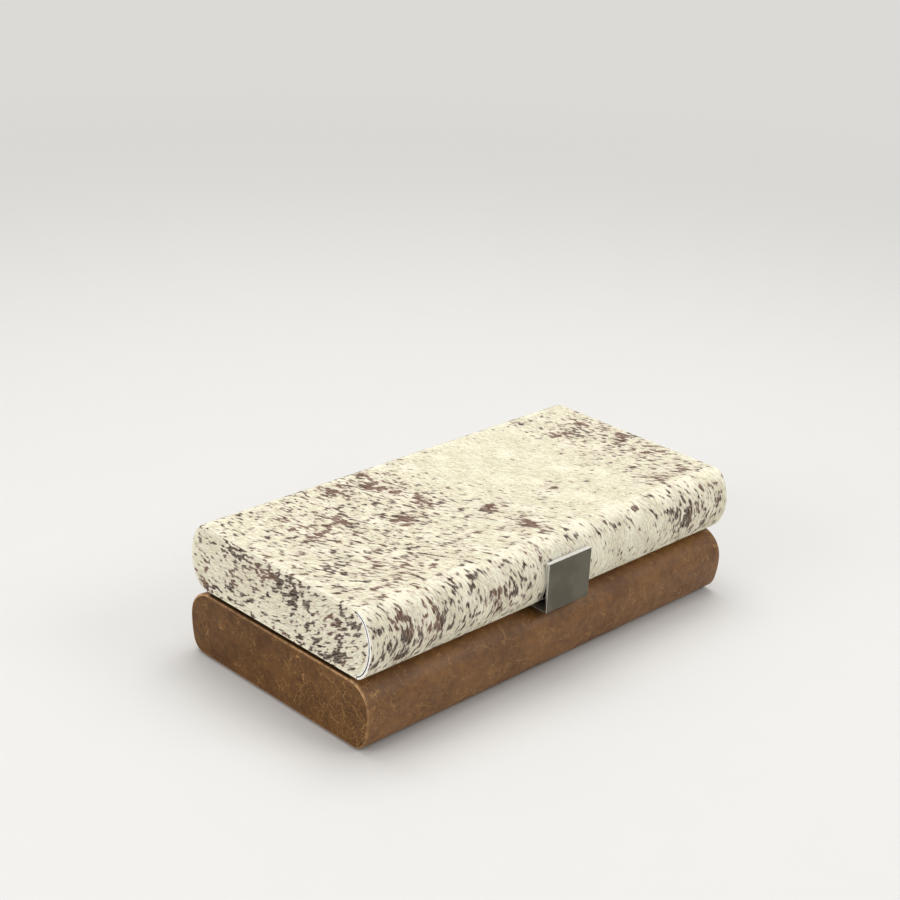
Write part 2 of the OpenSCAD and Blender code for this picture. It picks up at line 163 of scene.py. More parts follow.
def new_group(name, numbers, outputs):
    """A shader node group with a vector and number inputs, and with number outputs: (tree, the input
    node's sockets, the output node)."""
    tree = bpy.data.node_groups.new(name, "ShaderNodeTree")
    tree.interface.new_socket(name="Vector", in_out="INPUT", socket_type="NodeSocketVector")
    for label, default in numbers.items():
        tree.interface.new_socket(
            name=label, in_out="INPUT", socket_type="NodeSocketFloat").default_value = default
    for label in outputs:
        tree.interface.new_socket(name=label, in_out="OUTPUT", socket_type="NodeSocketFloat")
    return tree, tree.nodes.new("NodeGroupInput").outputs, tree.nodes.new("NodeGroupOutput")


def fill(tree, socket, value):
    """Links an input to another socket, or sets it to a number, a vector or a colour."""
    if isinstance(value, bpy.types.NodeSocket):
        tree.links.new(value, socket)
    elif socket.type == "RGBA":
        socket.default_value = (*value, 1)
    else:
        socket.default_value = value


def feed(tree, node, **values):
    """Fills a node's inputs by name, with _ for a space."""
    for key, value in values.items():
        fill(tree, node.inputs[key.replace("_", " ")], value)


def put(tree, kind, **values):
    """Adds a node, sets its properties and fills its inputs by name."""
    made = tree.nodes.new(kind)
    for key, value in values.items():
        if key.replace("_", " ") in made.inputs:
            feed(tree, made, **{key: value})
        else:
            setattr(made, key, value)
    return made


def maths(tree, operation, *values, clamp=False):
    """A Math node on sockets or numbers, and its output."""
    made = put(tree, "ShaderNodeMath", operation=operation, use_clamp=clamp)
    for socket, value in zip(made.inputs, values):
        fill(tree, socket, value)
    return made.outputs[0]


def plus(tree, a, b):
    return maths(tree, "ADD", a, b)


def minus(tree, a, b):
    return maths(tree, "SUBTRACT", a, b)


def times(tree, a, b):
    return maths(tree, "MULTIPLY", a, b)


def larger(tree, a, b):
    return maths(tree, "MAXIMUM", a, b)


def stretched(tree, vector, scale):
    """The vector with its axes scaled."""
    return put(tree, "ShaderNodeMapping", Vector=vector, Scale=scale).outputs["Vector"]


def noise(tree, vector, scale, detail=2.0, roughness=0.5):
    made = put(tree, "ShaderNodeTexNoise", Vector=vector, Scale=scale, Detail=detail, Roughness=roughness)
    return made.outputs["Fac"]


def ramp(tree, value, low, high, out_low=0.0, out_high=1.0):
    """Maps value smoothly from low..high to out_low..out_high. low and high may be sockets."""
    made = put(tree, "ShaderNodeMapRange", interpolation_type="SMOOTHSTEP", Value=value,
               From_Min=low, From_Max=high, To_Min=out_low, To_Max=out_high)
    return made.outputs["Result"]


def blend_colours(tree, factor, a, b, how="MIX"):
    """Mixes two colours, given as sockets or as three channels, and returns the output."""
    made = put(tree, "ShaderNodeMix", data_type="RGBA", blend_type=how)
    factor_in, a_in, b_in = made.inputs[0], made.inputs[6], made.inputs[7]
    for socket, value in ((factor_in, factor), (a_in, a), (b_in, b)):
        fill(tree, socket, value)
    return made.outputs[2]


def scaled(tone, share):
    """The colour with its channels multiplied."""
    return tuple(channel * share for channel in tone)


def bump(tree, height, depth, strength=1.0):
    return put(tree, "ShaderNodeBump", Height=height, Distance=depth, Strength=strength).outputs["Normal"]


def use_group(tree, name, vector, **values):
    """Places a shared group and returns its outputs."""
    made = tree.nodes.new("ShaderNodeGroup")
    made.node_tree = bpy.data.node_groups[name]
    feed(tree, made, Vector=vector, **values)
    return made.outputs


def flow_map(tree):
    return put(tree, "ShaderNodeUVMap", uv_map="flow").outputs["UV"]


def own_place(tree):
    return put(tree, "ShaderNodeTexCoord").outputs["Object"]


def attribute(tree, name):
    return put(tree, "ShaderNodeAttribute", attribute_name=name).outputs["Fac"]


def new_material(name, roughness, metallic=0.0, specular=0.5, sheen=0.0):
    """A material with one Principled BSDF: (tree, shader)."""
    material = bpy.data.materials.new(name)
    if material.name != name:
        raise RuntimeError(f"the frame already has a material named {name}")
    material.use_nodes = True
    tree = material.node_tree
    shader = tree.nodes["Principled BSDF"]
    feed(tree, shader, Roughness=roughness, Metallic=metallic, Specular_IOR_Level=specular,
         Sheen_Weight=sheen)
    return tree, shader


# ---- Shared effects, as node groups ----

# Scale along the hair, scale, detail and part of each noise in the flecks.
FLECK_NOISES = ((0.48, 450, 1.0, 0.52), (0.75, 165, 2.0, 0.32))
STROKE_PART = 0.16          # part of the hair strokes in the flecks
LEVELS = 0.685, 0.365       # noise above which the hair is dark, at a share of 0 and of MOST_SHARE
FLECK_EDGE = 0.020, 0.026   # softness of a fleck's edge, below and above that level
HALO_REACH = 0.10           # how far below it the skin shows
WARMTH_PART = 0.35          # part of the warmth in where the flecks are russet


def hide_pattern_group():
    """Flecks, the tint round them and hair strokes, in flow coordinates: X across the hair and Y along it.
    Share is how much of the hide is dark."""
    tree, start, end = new_group("hide_pattern", {"Share": 0.5, "Warmth": 0.5},
                                 ("Fleck", "Halo", "Russet", "Streak", "Stroke"))
    vector = start["Vector"]
    streak = noise(tree, stretched(tree, vector, (1, 0.08, 1)), 2200, 1.5, 0.6)
    stroke = noise(tree, stretched(tree, vector, (1, 0.11, 1)), 1050, 1.0)
    small, broad = (times(tree, noise(tree, stretched(tree, vector, (1, along, 1)), scale, detail), part)
                    for along, scale, detail, part in FLECK_NOISES)
    total = plus(tree, plus(tree, small, broad), times(tree, stroke, STROKE_PART))
    level = put(tree, "ShaderNodeMapRange", Value=start["Share"], From_Max=MOST_SHARE, To_Min=LEVELS[0],
                To_Max=LEVELS[1]).outputs["Result"]
    fleck = ramp(tree, total, minus(tree, level, FLECK_EDGE[0]), plus(tree, level, FLECK_EDGE[1]))
    over = ramp(tree, streak, 0.44, 0.64, 1.0, 0.60)
    warmer = times(tree, minus(tree, start["Warmth"], 0.5), WARMTH_PART)
    feed(tree, end, Fleck=times(tree, fleck, over), Streak=streak, Stroke=stroke,
         Halo=ramp(tree, total, minus(tree, level, HALO_REACH), level),
         Russet=ramp(tree, plus(tree, noise(tree, vector, 38, 1.0), warmer), 0.42, 0.60))


# Scale of the leather's veins, their width in a cell and their strength, from the broad ones to the fine.
VEINS = ((75.0, 0.020, 1.0), (170.0, 0.035, 0.85), (380.0, 0.055, 0.55))
VEIN_WANDER = 6 * MM        # how far the veins are bent aside


def leather_grain_group():
    """Pores, fibrous veins and mottling of waxed leather, in metres."""
    tree, start, end = new_group("leather_grain", {"Veining": 0.5}, ("Grain", "Vein", "Mottle", "Cloud"))
    vector, veining = start["Vector"], start["Veining"]
    wander = put(tree, "ShaderNodeTexNoise", Vector=vector, Scale=110.0, Detail=3.0)
    bent = put(tree, "ShaderNodeVectorMath", operation="MULTIPLY_ADD")
    for socket, value in zip(bent.inputs, (wander.outputs["Color"], (VEIN_WANDER,) * 3, vector)):
        fill(tree, socket, value)
    vein = 0.0
    for scale, width, strength in VEINS:
        cells = put(tree, "ShaderNodeTexVoronoi", feature="DISTANCE_TO_EDGE", Vector=bent.outputs[0],
                    Scale=scale)
        line = ramp(tree, cells.outputs["Distance"], 0.0, width, strength, 0.0)
        part = ramp(tree, noise(tree, vector, scale * 1.3, 2.0, 0.6), 0.44, 0.56)
        vein = larger(tree, vein, times(tree, line, part))
    floor = minus(tree, 0.56, times(tree, veining, 0.24))
    shown = ramp(tree, noise(tree, vector, 85, 4.0, 0.65), floor, plus(tree, floor, 0.14))
    dust = times(tree, ramp(tree, noise(tree, vector, 620, 4.0, 0.7), 0.52, 0.66), times(tree, veining, 0.35))
    fibres = ramp(tree, noise(tree, vector, 1500, 2.0, 0.7), 0.35, 0.60, 0.55, 1.0)
    pores = put(tree, "ShaderNodeTexVoronoi", Vector=vector, Scale=1300.0).outputs["Distance"]
    feed(tree, end, Vein=times(tree, times(tree, larger(tree, vein, dust), shown), fibres),
         Grain=plus(tree, times(tree, pores, 0.6), times(tree, noise(tree, vector, 420, 3.0), 0.8)),
         Mottle=noise(tree, vector, 240, 4.0, 0.65), Cloud=noise(tree, vector, 32, 4.0, 0.6))


def nap_group():
    """Short pile of suede, brushed this way and that."""
    tree, start, end = new_group("nap", {}, ("Pile", "Brushed"))
    vector = start["Vector"]
    feed(tree, end, Pile=noise(tree, vector, 2100, 2.0, 0.6),
         Brushed=ramp(tree, noise(tree, vector, 24, 4.0, 0.65), 0.38, 0.64))


def wood_grain_group():
    """Straight grain along X."""
    tree, start, end = new_group("wood_grain", {}, ("Grain", "Pore"))
    vector = start["Vector"]
    feed(tree, end, Grain=noise(tree, stretched(tree, vector, (0.06, 1, 1)), 320, 4.0, 0.6),
         Pore=ramp(tree, noise(tree, stretched(tree, vector, (0.12, 1, 1)), 1500, 1.0), 0.6, 0.7))


def smudge_group():
    """Handling marks and fine polishing lines on metal."""
    tree, start, end = new_group("smudge", {"Line Scale": 3000.0}, ("Smudge", "Lines"))
    vector = start["Vector"]
    lines = put(tree, "ShaderNodeTexNoise", Vector=stretched(tree, vector, (0.04, 1, 1)),
                Scale=start["Line Scale"], Detail=1.0)
    feed(tree, end, Smudge=ramp(tree, noise(tree, vector, 70, 3.0), 0.4, 0.7), Lines=lines.outputs["Fac"])


# ---- Materials ----

SKIN_TINT = 0.38            # how strongly the skin shows round the flecks


def hide_colour(tree, pattern, shade):
    """Cream ground, and dark and russet flecks with a tinted rim, darkened by shade."""
    c = colours()
    cream = c.hide_cream
    dull_cream = (cream[0] * 0.92, cream[1] * 0.91, cream[2] * 0.88)
    ground = blend_colours(tree, ramp(tree, pattern["Stroke"], 0.36, 0.62), cream, dull_cream)
    tinted = blend_colours(tree, times(tree, pattern["Halo"], SKIN_TINT), ground, c.hide_blush)
    dark = blend_colours(tree, pattern["Russet"], c.hide_speck, c.hide_russet)
    flecked = blend_colours(tree, pattern["Fleck"], tinted, dark)
    grey = put(tree, "ShaderNodeCombineColor", Red=shade, Green=shade, Blue=shade)
    return blend_colours(tree, 1.0, flecked, grey.outputs["Color"], "MULTIPLY")


def hide_pattern(tree):
    return use_group(tree, "hide_pattern", flow_map(tree), Share=attribute(tree, "fleck_share"),
                     Warmth=attribute(tree, "warmth"))


def hide_sheet_material():
    tree, shader = new_material("hide_sheet", 0.70, specular=0.2)
    pattern = hide_pattern(tree)
    shade = ramp(tree, pattern["Streak"], 0.3, 0.7, 0.88, 1.03)
    feed(tree, shader, Base_Color=hide_colour(tree, pattern, shade),
         Normal=bump(tree, pattern["Streak"], 0.14 * MM))


def hide_hair_material():
    """Hair as dark as the hide below it, with a shade of its own for each strand."""
    tree, shader = new_material("hide_hair", 0.55, specular=0.25)
    feed(tree, shader, Base_Color=hide_colour(tree, hide_pattern(tree), attribute(tree, "shade")))


def cut_edge_material():
    tree, shader = new_material("hide_cut_edge", 0.85)
    pile = use_group(tree, "nap", own_place(tree))["Pile"]
    edge = colours().cut_edge
    feed(tree, shader, Base_Color=blend_colours(tree, pile, edge, scaled(edge, 0.94)),
         Normal=bump(tree, pile, 0.05 * MM))


def flesh_side_material():
    """The flesh side of the hide, coloured dark so that down in the joints it paints their shade."""
    tree, shader = new_material("hide_flesh_side", 0.9)
    pile = use_group(tree, "nap", own_place(tree))["Pile"]
    suede = colours().suede
    feed(tree, shader, Base_Color=blend_colours(tree, pile, suede, scaled(suede, 0.6)))


def leather_material(name, depth, shine):
    """Waxed leather. depth scales the ground's colour, where below 1 it paints shade as on the end panels,
    and shine is the strength of its gloss. The wear of a place rubs it pale, and painted shade darkens the
    edges that lie in the joint."""
    c = colours()
    tree, shader = new_material(name, 0.5, specular=shine)
    grain = use_group(tree, "leather_grain", flow_map(tree), Veining=attribute(tree, "veining"))
    clouds = plus(tree, times(tree, grain["Cloud"], 0.5), times(tree, grain["Mottle"], 0.5))
    body = blend_colours(tree, ramp(tree, clouds, 0.37, 0.63), scaled(c.leather_dark, depth),
                         scaled(c.leather, depth))
    veined = blend_colours(tree, grain["Vein"], body, c.leather_vein)
    worn = maths(tree, "MULTIPLY", attribute(tree, "wear"),
                 ramp(tree, grain["Mottle"], 0.36, 0.60, 0.35, 1.0), clamp=True)
    rubbed = blend_colours(tree, worn, veined, c.leather_worn)
    # Painted shade: the edges that lie in the joint between lid and base are darkened towards dark leather.
    joint_shaded = blend_colours(tree, attribute(tree, "painted_joint_shade"), rubbed, scaled(c.leather_dark, 0.4))
    height = minus(tree, times(tree, grain["Grain"], 0.5), times(tree, grain["Vein"], 0.35))
    feed(tree, shader, Base_Color=joint_shaded, Roughness=ramp(tree, grain["Cloud"], 0.3, 0.7, 0.55, 0.43),
         Normal=bump(tree, height, 0.16 * MM))


def suede_material():
    suede = colours().suede
    tree, shader = new_material("suede_nap", 0.95, sheen=0.35)
    nap = use_group(tree, "nap", own_place(tree))
    brushed = blend_colours(tree, nap["Brushed"], suede, scaled(suede, 1.5))
    feed(tree, shader, Base_Color=blend_colours(tree, nap["Pile"], brushed, scaled(suede, 0.6)),
         Sheen_Tint=(0.55, 0.42, 0.33), Normal=bump(tree, nap["Pile"], 0.2 * MM))


def wood_material():
    wood = colours().wood
    tree, shader = new_material("carcass_wood", 0.6)
    grain = use_group(tree, "wood_grain", own_place(tree))
    tone = blend_colours(tree, grain["Grain"], wood, scaled(wood, 0.72))
    pored = blend_colours(tree, times(tree, grain["Pore"], 0.4), tone, scaled(wood, 0.45))
    feed(tree, shader, Base_Color=pored, Normal=bump(tree, grain["Grain"], 0.1 * MM))


LINE_STRENGTH = 0.4         # of the polishing lines' bumps
CLASP_LINES = 0.002 * MM    # depth of those lines on the clasp
NICKEL_LINES = 0.01 * MM    # and on the hinges and the magnets
# Heights over which the clasp's painted highlights end on the foot and begin on its sides and top.
FOOT_ENDS, FOOT_PAINTED_HIGHLIGHT = (44 * MM, 46 * MM), 0.45
SIDES_BEGIN = 46 * MM, 56 * MM
TOP_BEGINS = 60 * MM, 62 * MM


def metal_material(name, tone, low, high, line_depth):
    """Metal whose roughness runs from low to high with handling marks."""
    tree, shader = new_material(name, low, metallic=1.0)
    marks = use_group(tree, "smudge", own_place(tree))
    feed(tree, shader, Base_Color=blend_colours(tree, marks["Smudge"], tone, scaled(tone, 0.90)),
         Roughness=ramp(tree, marks["Smudge"], 0.0, 1.0, low, high),
         Normal=bump(tree, marks["Lines"], line_depth, LINE_STRENGTH))


def clasp_material():
    """Polished steel with painted light: its large faces are dark, and its narrow ones, sides, top and foot,
    carry painted highlights.
    """
    c = colours()
    tree, shader = new_material("clasp_steel", 0.14, metallic=1.0)
    coordinates = put(tree, "ShaderNodeTexCoord").outputs
    marks = use_group(tree, "smudge", coordinates["Object"])
    facing = put(tree, "ShaderNodeSeparateXYZ", Vector=coordinates["Normal"]).outputs
    place = put(tree, "ShaderNodeSeparateXYZ", Vector=coordinates["Object"]).outputs
    # Painted highlights: sideways faces, upward faces at the top and upward faces on the foot are made
    # bright, the sides more so higher up.
    sides = ramp(tree, maths(tree, "ABSOLUTE", facing["X"]), 0.5, 0.8)
    upwards = ramp(tree, facing["Z"], 0.4, 0.7)
    top = times(tree, upwards, ramp(tree, place["Z"], *TOP_BEGINS))
    foot = times(tree, upwards, ramp(tree, place["Z"], *FOOT_ENDS, FOOT_PAINTED_HIGHLIGHT, 0.0))
    sides = times(tree, sides, ramp(tree, place["Z"], *SIDES_BEGIN, 0.2, 1.0))
    painted_highlight = larger(tree, sides, larger(tree, top, foot))
    # Painted reflection: the large faces get a dark steel colour, as if reflecting dark surroundings, varied
    # at random by clouds.
    clouds = ramp(tree, noise(tree, coordinates["Object"], 60), 0.38, 0.62)
    face = blend_colours(tree, clouds, scaled(c.steel, 0.86), scaled(c.steel, 1.14))
    polish = ramp(tree, marks["Smudge"], 0.0, 1.0, 0.10, 0.22)
    feed(tree, shader, Base_Color=blend_colours(tree, painted_highlight, face, c.steel_edge),
         Roughness=plus(tree, polish, times(tree, painted_highlight, 0.40)),
         Normal=bump(tree, marks["Lines"], CLASP_LINES, LINE_STRENGTH))


def build_materials():
    c = colours()
    hide_pattern_group()
    leather_grain_group()
    nap_group()
    wood_grain_group()
    smudge_group()
    hide_sheet_material()
    hide_hair_material()
    cut_edge_material()
    flesh_side_material()
    leather_material("waxed_leather", 1.0, 0.42)
    # The ends' leather is the wrap's at 0.72 of its colour: painted shade on the end faces.
    leather_material("waxed_leather_ends_painted_shade", 0.72, 0.2)
    suede_material()
    wood_material()
    clasp_material()
    # Painted highlight on the clasp's softened edges.
    metal_material("clasp_edge_painted_highlight", c.steel_edge, 0.25, 0.35, CLASP_LINES)
    metal_material("satin_nickel", c.nickel, 0.26, 0.38, NICKEL_LINES)
    metal_material("magnet_plate", scaled(c.nickel, 0.6), 0.22, 0.34, NICKEL_LINES)


# ---- The outline of a half, unrolled ----

class HalfOutline:
    """The path of a covering seen from the end, from the back rim's inner edge round the closed side
    to the front rim's inner edge. Its length s is measured along the outer face, in metres."""

    def __init__(self, wrap_node, low_radius, low_cut, crown_radius, crown_rise, high_radius, mouth,
                 opens_up):
        low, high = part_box(wrap_node)
        self.half_x = high[0]
        self.low_z, self.high_z = low[2], high[2]
        self.mouth = mouth
        crown_y = high[1] - crown_radius
        crown_z = self.low_z + crown_rise
        low_centre_z = self.low_z - low_cut + low_radius
        high_centre_z = self.high_z - high_radius

        def centre_y(radius, z):
            return crown_y + math.sqrt((crown_radius - radius) ** 2 - (z - crown_z) ** 2)

        low_y, high_y = centre_y(low_radius, low_centre_z), centre_y(high_radius, high_centre_z)
        low_turn = math.atan2(low_centre_z - crown_z, low_y - crown_y)
        high_turn = math.atan2(high_centre_z - crown_z, high_y - crown_y)
        start_turn = -math.asin(1 - low_cut / low_radius)
        self.side = np.concatenate((
            self.arc(low_y, low_centre_z, low_radius, start_turn, low_turn),
            self.arc(crown_y, crown_z, crown_radius, low_turn, high_turn),
            self.arc(high_y, high_centre_z, high_radius, high_turn, math.pi / 2)))
        side = self.side[::-1] if opens_up else self.side
        rim_z, closed_z, up = (self.high_z, self.low_z, -1) if opens_up else (self.low_z, self.high_z, 1)
        self.rim_y, self.closed_y = side[0, 0], side[-1, 0]
        rim = self.flat(mouth, self.rim_y, rim_z, -up)
        closed = self.flat(self.closed_y, 0, closed_z, up)
        half = np.concatenate((rim, side, closed))
        path = np.concatenate((half, half[::-1] * np.array((-1, 1, -1, 1))))
        gap = np.hypot(np.diff(path[:, 0]), np.diff(path[:, 1]))
        apart = gap > SAME_PLACE
        self.path = path[np.concatenate(([True], apart))]
        self.s = np.concatenate(([0], np.cumsum(gap[apart])))
        self.length = self.s[-1]
        self.rim_s = self.rim_y - mouth
        self.closed_s = self.s_of(self.closed_y, closed_z)

    @staticmethod
    def arc(y, z, radius, start, stop):
        """Points y, z and outward normals along an arc."""
        turn = np.linspace(start, stop, max(2, int(radius * abs(stop - start) / PATH_STEP)))
        return np.stack((y + radius * np.cos(turn), z + radius * np.sin(turn), np.cos(turn), np.sin(turn)), 1)

    @staticmethod
    def flat(y0, y1, z, normal_z):
        y = np.linspace(y0, y1, max(2, int(abs(y1 - y0) / PATH_STEP)))
        return np.stack((y, np.full(len(y), z), np.zeros(len(y)), np.full(len(y), float(normal_z))), 1)

    def section(self, s):
        """y, z and the outward normal's y, z at lengths s."""
        return [np.interp(s, self.s, self.path[:, i]) for i in range(4)]

    def over(self, x, s, height, radius):
        """Places at s, and at a length x from the middle that runs on over an end rounded to radius."""
        start = self.half_x - radius
        past = np.maximum(np.abs(x) - start, 0)
        turn = np.minimum(past / radius, math.pi / 2)
        down = past - radius * turn
        out = np.minimum(np.abs(x), start) + np.sin(turn) * (radius + height)
        fall = radius - np.cos(turn) * (radius + height) + down
        y, z, ny, nz = self.section(s)
        return np.stack((np.sign(x) * out, y - ny * fall, z - nz * fall), -1)

    def s_of(self, y, z):
        """The length along the path of the point nearest to y, z."""
        return float(self.s[np.hypot(self.path[:, 0] - y, self.path[:, 1] - z).argmin()])

    def width_at(self, z, inset):
        """Half the depth of the outline drawn in by inset, at heights z."""
        y, height, normal_y, normal_z = self.side.T
        return np.interp(z, height - normal_z * inset, y - normal_y * inset)


PATH_STEP = 0.4 * MM        # between points of a path
SAME_PLACE = 1e-7           # metres under which two points of a path are one


# ---- Mesh helpers ----

def mesh_object(name, verts, faces, material_names, material_index=None, uv=None, values=None, sharp=40):
    """A piece from arrays. uv has a place for each vertex, and values are named numbers per vertex."""
    mesh = bpy.data.meshes.new(name)
    mesh.from_pydata(np.asarray(verts).tolist(), [], faces)
    for material in material_names:
        mesh.materials.append(bpy.data.materials[material])
    if material_index is not None:
        mesh.polygons.foreach_set("material_index", np.asarray(material_index, dtype=np.int32))
    corners = np.empty(len(mesh.loops), dtype=np.int32)
    mesh.loops.foreach_get("vertex_index", corners)
    if uv is not None:
        layer = mesh.uv_layers.new(name="flow")
        layer.data.foreach_set("uv", np.asarray(uv, dtype=np.float32)[corners].ravel())
    for key, numbers in (values or {}).items():
        made = mesh.attributes.new(key, "FLOAT", "POINT")
        made.data.foreach_set("value", np.asarray(numbers, dtype=np.float32))
    mesh.validate()
    mesh.update()
    mesh.shade_smooth()
    if sharp:
        mesh.set_sharp_from_angle(angle=math.radians(sharp))
    piece = bpy.data.objects.new(name, mesh)
    bpy.context.scene.collection.objects.link(piece)
    return piece


def place_piece(piece, body, nodes=()):
    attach(piece, body)
    if nodes:
        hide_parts(*nodes)


RIPPLES = 6                 # waves that add up to the unevenness of a covering


def ripple(x, y, wave, seed):
    """Smooth unevenness between -1 and 1 over lengths of about wave."""
    draw = np.random.default_rng(seed)
    total = np.zeros(np.broadcast(x, y).shape)
    for _ in range(RIPPLES):
        turn, phase, size = draw.uniform(0, math.tau), draw.uniform(0, math.tau), draw.uniform(0.6, 1.7)
        total = total + np.sin((x * math.cos(turn) + y * math.sin(turn)) * math.tau / (wave * size) + phase)
    return total / RIPPLES


def edge_fall(distance, radius):
    """How far a rounded edge of that radius falls away, at a distance from the edge."""
    d = np.clip(radius - distance, 0, radius)
    return radius - np.sqrt(np.maximum(radius ** 2 - d ** 2, 0))


def ease(value, start, stop):
    """0 at start, 1 at stop and smooth between."""
    t = np.clip((value - start) / (stop - start), 0, 1)
    return t * t * (3 - 2 * t)


# ---- Where the hair runs and where it is dark ----

# Slope of the hair, sideways per length towards the front, at places along the lid's path:
# back rim, back edge, front edge of the top, upper bulge, middle of the bulge, lower bulge and front rim.
FLOW_PLACES = (0.0, 0.24, 0.50, 0.70, 0.80, 0.88, 1.0)
FLOW_SLOPES = (0.0, 0.15, 0.38, 0.60, 0.42, -0.15, -0.80)
END_SLOPE = 0.22            # on the end faces, upwards per length towards the front, at the middle
END_BEND = 4.5              # and how much that slope grows for each metre forwards

# Patches of dark hair on top: centre x, y, half lengths x, y, in millimetres, and how much darker.
# Wide ones have more flecks, small strong ones are whole blots, and ones below 0 are pale.
TOP_PATCHES = (
    (-42, 44, 26, 24, 0.21), (-58, 58, 24, 12, 0.14), (-55, 0, 16, 12, 0.24), (-28, 12, 16, 16, 0.16),
    (-6, -20, 12, 9, 0.24), (-4, -50, 13, 16, 0.21), (42, -22, 20, 9, 0.19), (-90, 0, 75, 90, 0.11),
    (112, 34, 18, 14, 0.21), (136, 26, 18, 16, 0.17), (136, -2, 14, 10, 0.22), (132, -24, 14, 10, 0.25),
    (106, -52, 14, 12, 0.22), (128, -56, 14, 10, 0.20), (-120, 50, 30, 14, 0.07),
    (46, 10, 42, 42, -0.37), (60, 48, 36, 22, -0.25), (20, 40, 26, 26, -0.19), (60, -48, 38, 16, -0.16),
    (-40, 46, 5, 6, 0.72), (-35, 31, 3, 6, 0.61), (-56, 0, 7, 5, 0.65), (-30, 10, 4, 8, 0.61),
    (-62, 54, 6, 6, 0.38), (-32, 61, 5, 3, 0.52), (-108, 15, 4, 4, 0.41), (-85, 18, 3, 7, 0.41),
    (-6, -20, 6, 4, 0.68), (-3, -50, 5, 9, 0.72), (-128, -20, 8, 4, 0.38), (-95, -42, 6, 2, 0.52),
    (43, -22, 4, 5, 0.61), (110, 28, 7, 5, 0.50), (136, 35, 8, 6, 0.36), (139, 1, 8, 6, 0.42),
    (102, 59, 4, 4, 0.61), (105, -56, 5, 6, 0.46), (131, -54, 4, 4, 0.46), (12, 3, 3, 3, 0.52),
    (16, -8, 3, 3, 0.49), (-19, 42, 3, 3, 0.52), (31, -21, 3, 3, 0.45),
    (-108, -40, 44, 26, 0.17), (126, 8, 28, 48, 0.12), (120, 48, 14, 9, -0.14), (101, 1, 14, 10, 0.17),
    (106, -33, 9, 7, 0.15), (134, -26, 7, 5, 0.24), (48, -14, 8, 5, 0.14),
    (-106, 18, 26, 22, 0.17), (-85, 22, 8, 16, 0.20), (-110, 16, 5, 4, 0.36), (-130, -20, 12, 5, 0.16),
)
# On the front and the back: centre x and height.
FRONT_PATCHES = (
    (-126, 62, 14, 14, 0.24), (-104, 60, 10, 14, 0.22), (-138, 64, 12, 12, 0.18), (-60, 66, 18, 14, 0.12),
    (-96, 72, 26, 10, 0.13), (-40, 64, 14, 12, 0.15), (110, 66, 16, 10, 0.32), (100, 72, 16, 10, 0.20),
    (58, 62, 34, 16, -0.16), (134, 64, 14, 14, 0.15), (20, 60, 24, 14, -0.06), (-100, 56, 60, 14, 0.13),
    (-127, 77, 4, 3, 0.68), (-137, 82, 3, 3, 0.52), (-123, 66, 5, 4, 0.62), (-126, 52, 5, 2, 0.61),
    (-142, 74, 3, 3, 0.45), (-100, 66, 4, 6, 0.45), (-69, 81, 4, 3, 0.56), (-86, 79, 4, 2, 0.45),
    (-75, 75, 3, 2, 0.52), (-53, 67, 4, 3, 0.38), (-43, 68, 2, 5, 0.38), (-54, 56, 3, 2, 0.50),
    (-144, 55, 4, 3, 0.52), (12, 79, 4, 2, 0.45), (41, 79, 2, 2, 0.52), (66, 81, 3, 2, 0.61),
    (110, 63, 5, 5, 0.76), (98, 71, 4, 3, 0.38), (100, 54, 3, 3, 0.45), (140, 67, 4, 4, 0.45),
    (127, 79, 2, 2, 0.45), (130, 55, 7, 3, 0.45), (-18, 76, 3, 3, 0.45),
    (-48, 64, 30, 16, 0.08),
)
BACK_PATCHES = (
    (-90, 66, 24, 14, 0.27), (-20, 60, 26, 16, 0.15), (60, 66, 30, 14, -0.16), (120, 62, 20, 14, 0.30),
    (-135, 70, 14, 14, 0.18), (20, 74, 20, 10, 0.15), (-88, 68, 6, 5, 0.50), (-112, 56, 5, 4, 0.37),
    (-30, 62, 4, 4, 0.43), (118, 64, 6, 5, 0.50), (136, 74, 3, 3, 0.37), (66, 58, 3, 3, 0.37),
)
# On the end faces: centre forwards of the middle and height.
END_PATCHES = (
    (-28, 76, 26, 8, 0.33), (0, 74, 22, 9, 0.25), (16, 72, 12, 9, 0.28), (52, 70, 9, 8, 0.26),
    (50, 50, 10, 9, 0.16), (22, 46, 16, 7, 0.20), (-38, 58, 12, 9, 0.23), (-62, 47, 12, 8, 0.23),
    (66, 72, 9, 8, 0.20), (-20, 52, 16, 12, 0.08), (30, 60, 20, 10, 0.11),
    (-37, 78, 9, 4, 0.42), (-1, 76, 5, 3, 0.62), (20, 80, 4, 2, 0.72), (14, 72, 4, 3, 0.62),
    (52, 70, 3, 3, 0.84), (62, 73, 2, 2, 0.58), (66, 75, 2, 2, 0.58), (51, 52, 3, 4, 0.84),
    (55, 48, 5, 2, 0.74), (32, 51, 4, 2, 0.62), (-38, 58, 5, 3, 0.50), (-44, 54, 3, 2, 0.50),
    (-20, 54, 4, 2, 0.50), (-63, 48, 4, 3, 0.76), (-55, 48, 2, 2, 0.76), (-42, 47, 2, 2, 0.68),
    (-35, 46, 2, 1, 0.68), (-63, 60, 4, 2, 0.42), (7, 45, 5, 2, 0.58), (40, 46, 5, 2, 0.50),
    (-72, 52, 2, 2, 0.58), (25, 70, 2, 2, 0.42),
    (46, 62, 26, 22, 0.13),
)
PLAIN_SHARE = 0.46          # dark hair outside the patches
LEAST_SHARE, MOST_SHARE = 0.05, 1.5
PATCH_FADE = 1.1            # how fast a patch fades beyond its half lengths
TOP_WARMTH, SIDE_WARMTH, END_WARMTH = 0.35, 0.25, 0.15    # how russet the dark hair is
BLOT_WARMTH = 0.9           # and how much more so in the patches


def fleck_share(a, b, patches):
    """How dark the hide is at a, b in metres: the plain amount and each patch's share."""
    total = np.full(np.shape(a), PLAIN_SHARE)
    for centre_a, centre_b, half_a, half_b, strength in patches:
        gap = ((a / MM - centre_a) / half_a) ** 2 + ((b / MM - centre_b) / half_b) ** 2
        total = total + strength * np.exp(-gap * PATCH_FADE)
    return np.clip(total, LEAST_SHARE, MOST_SHARE)


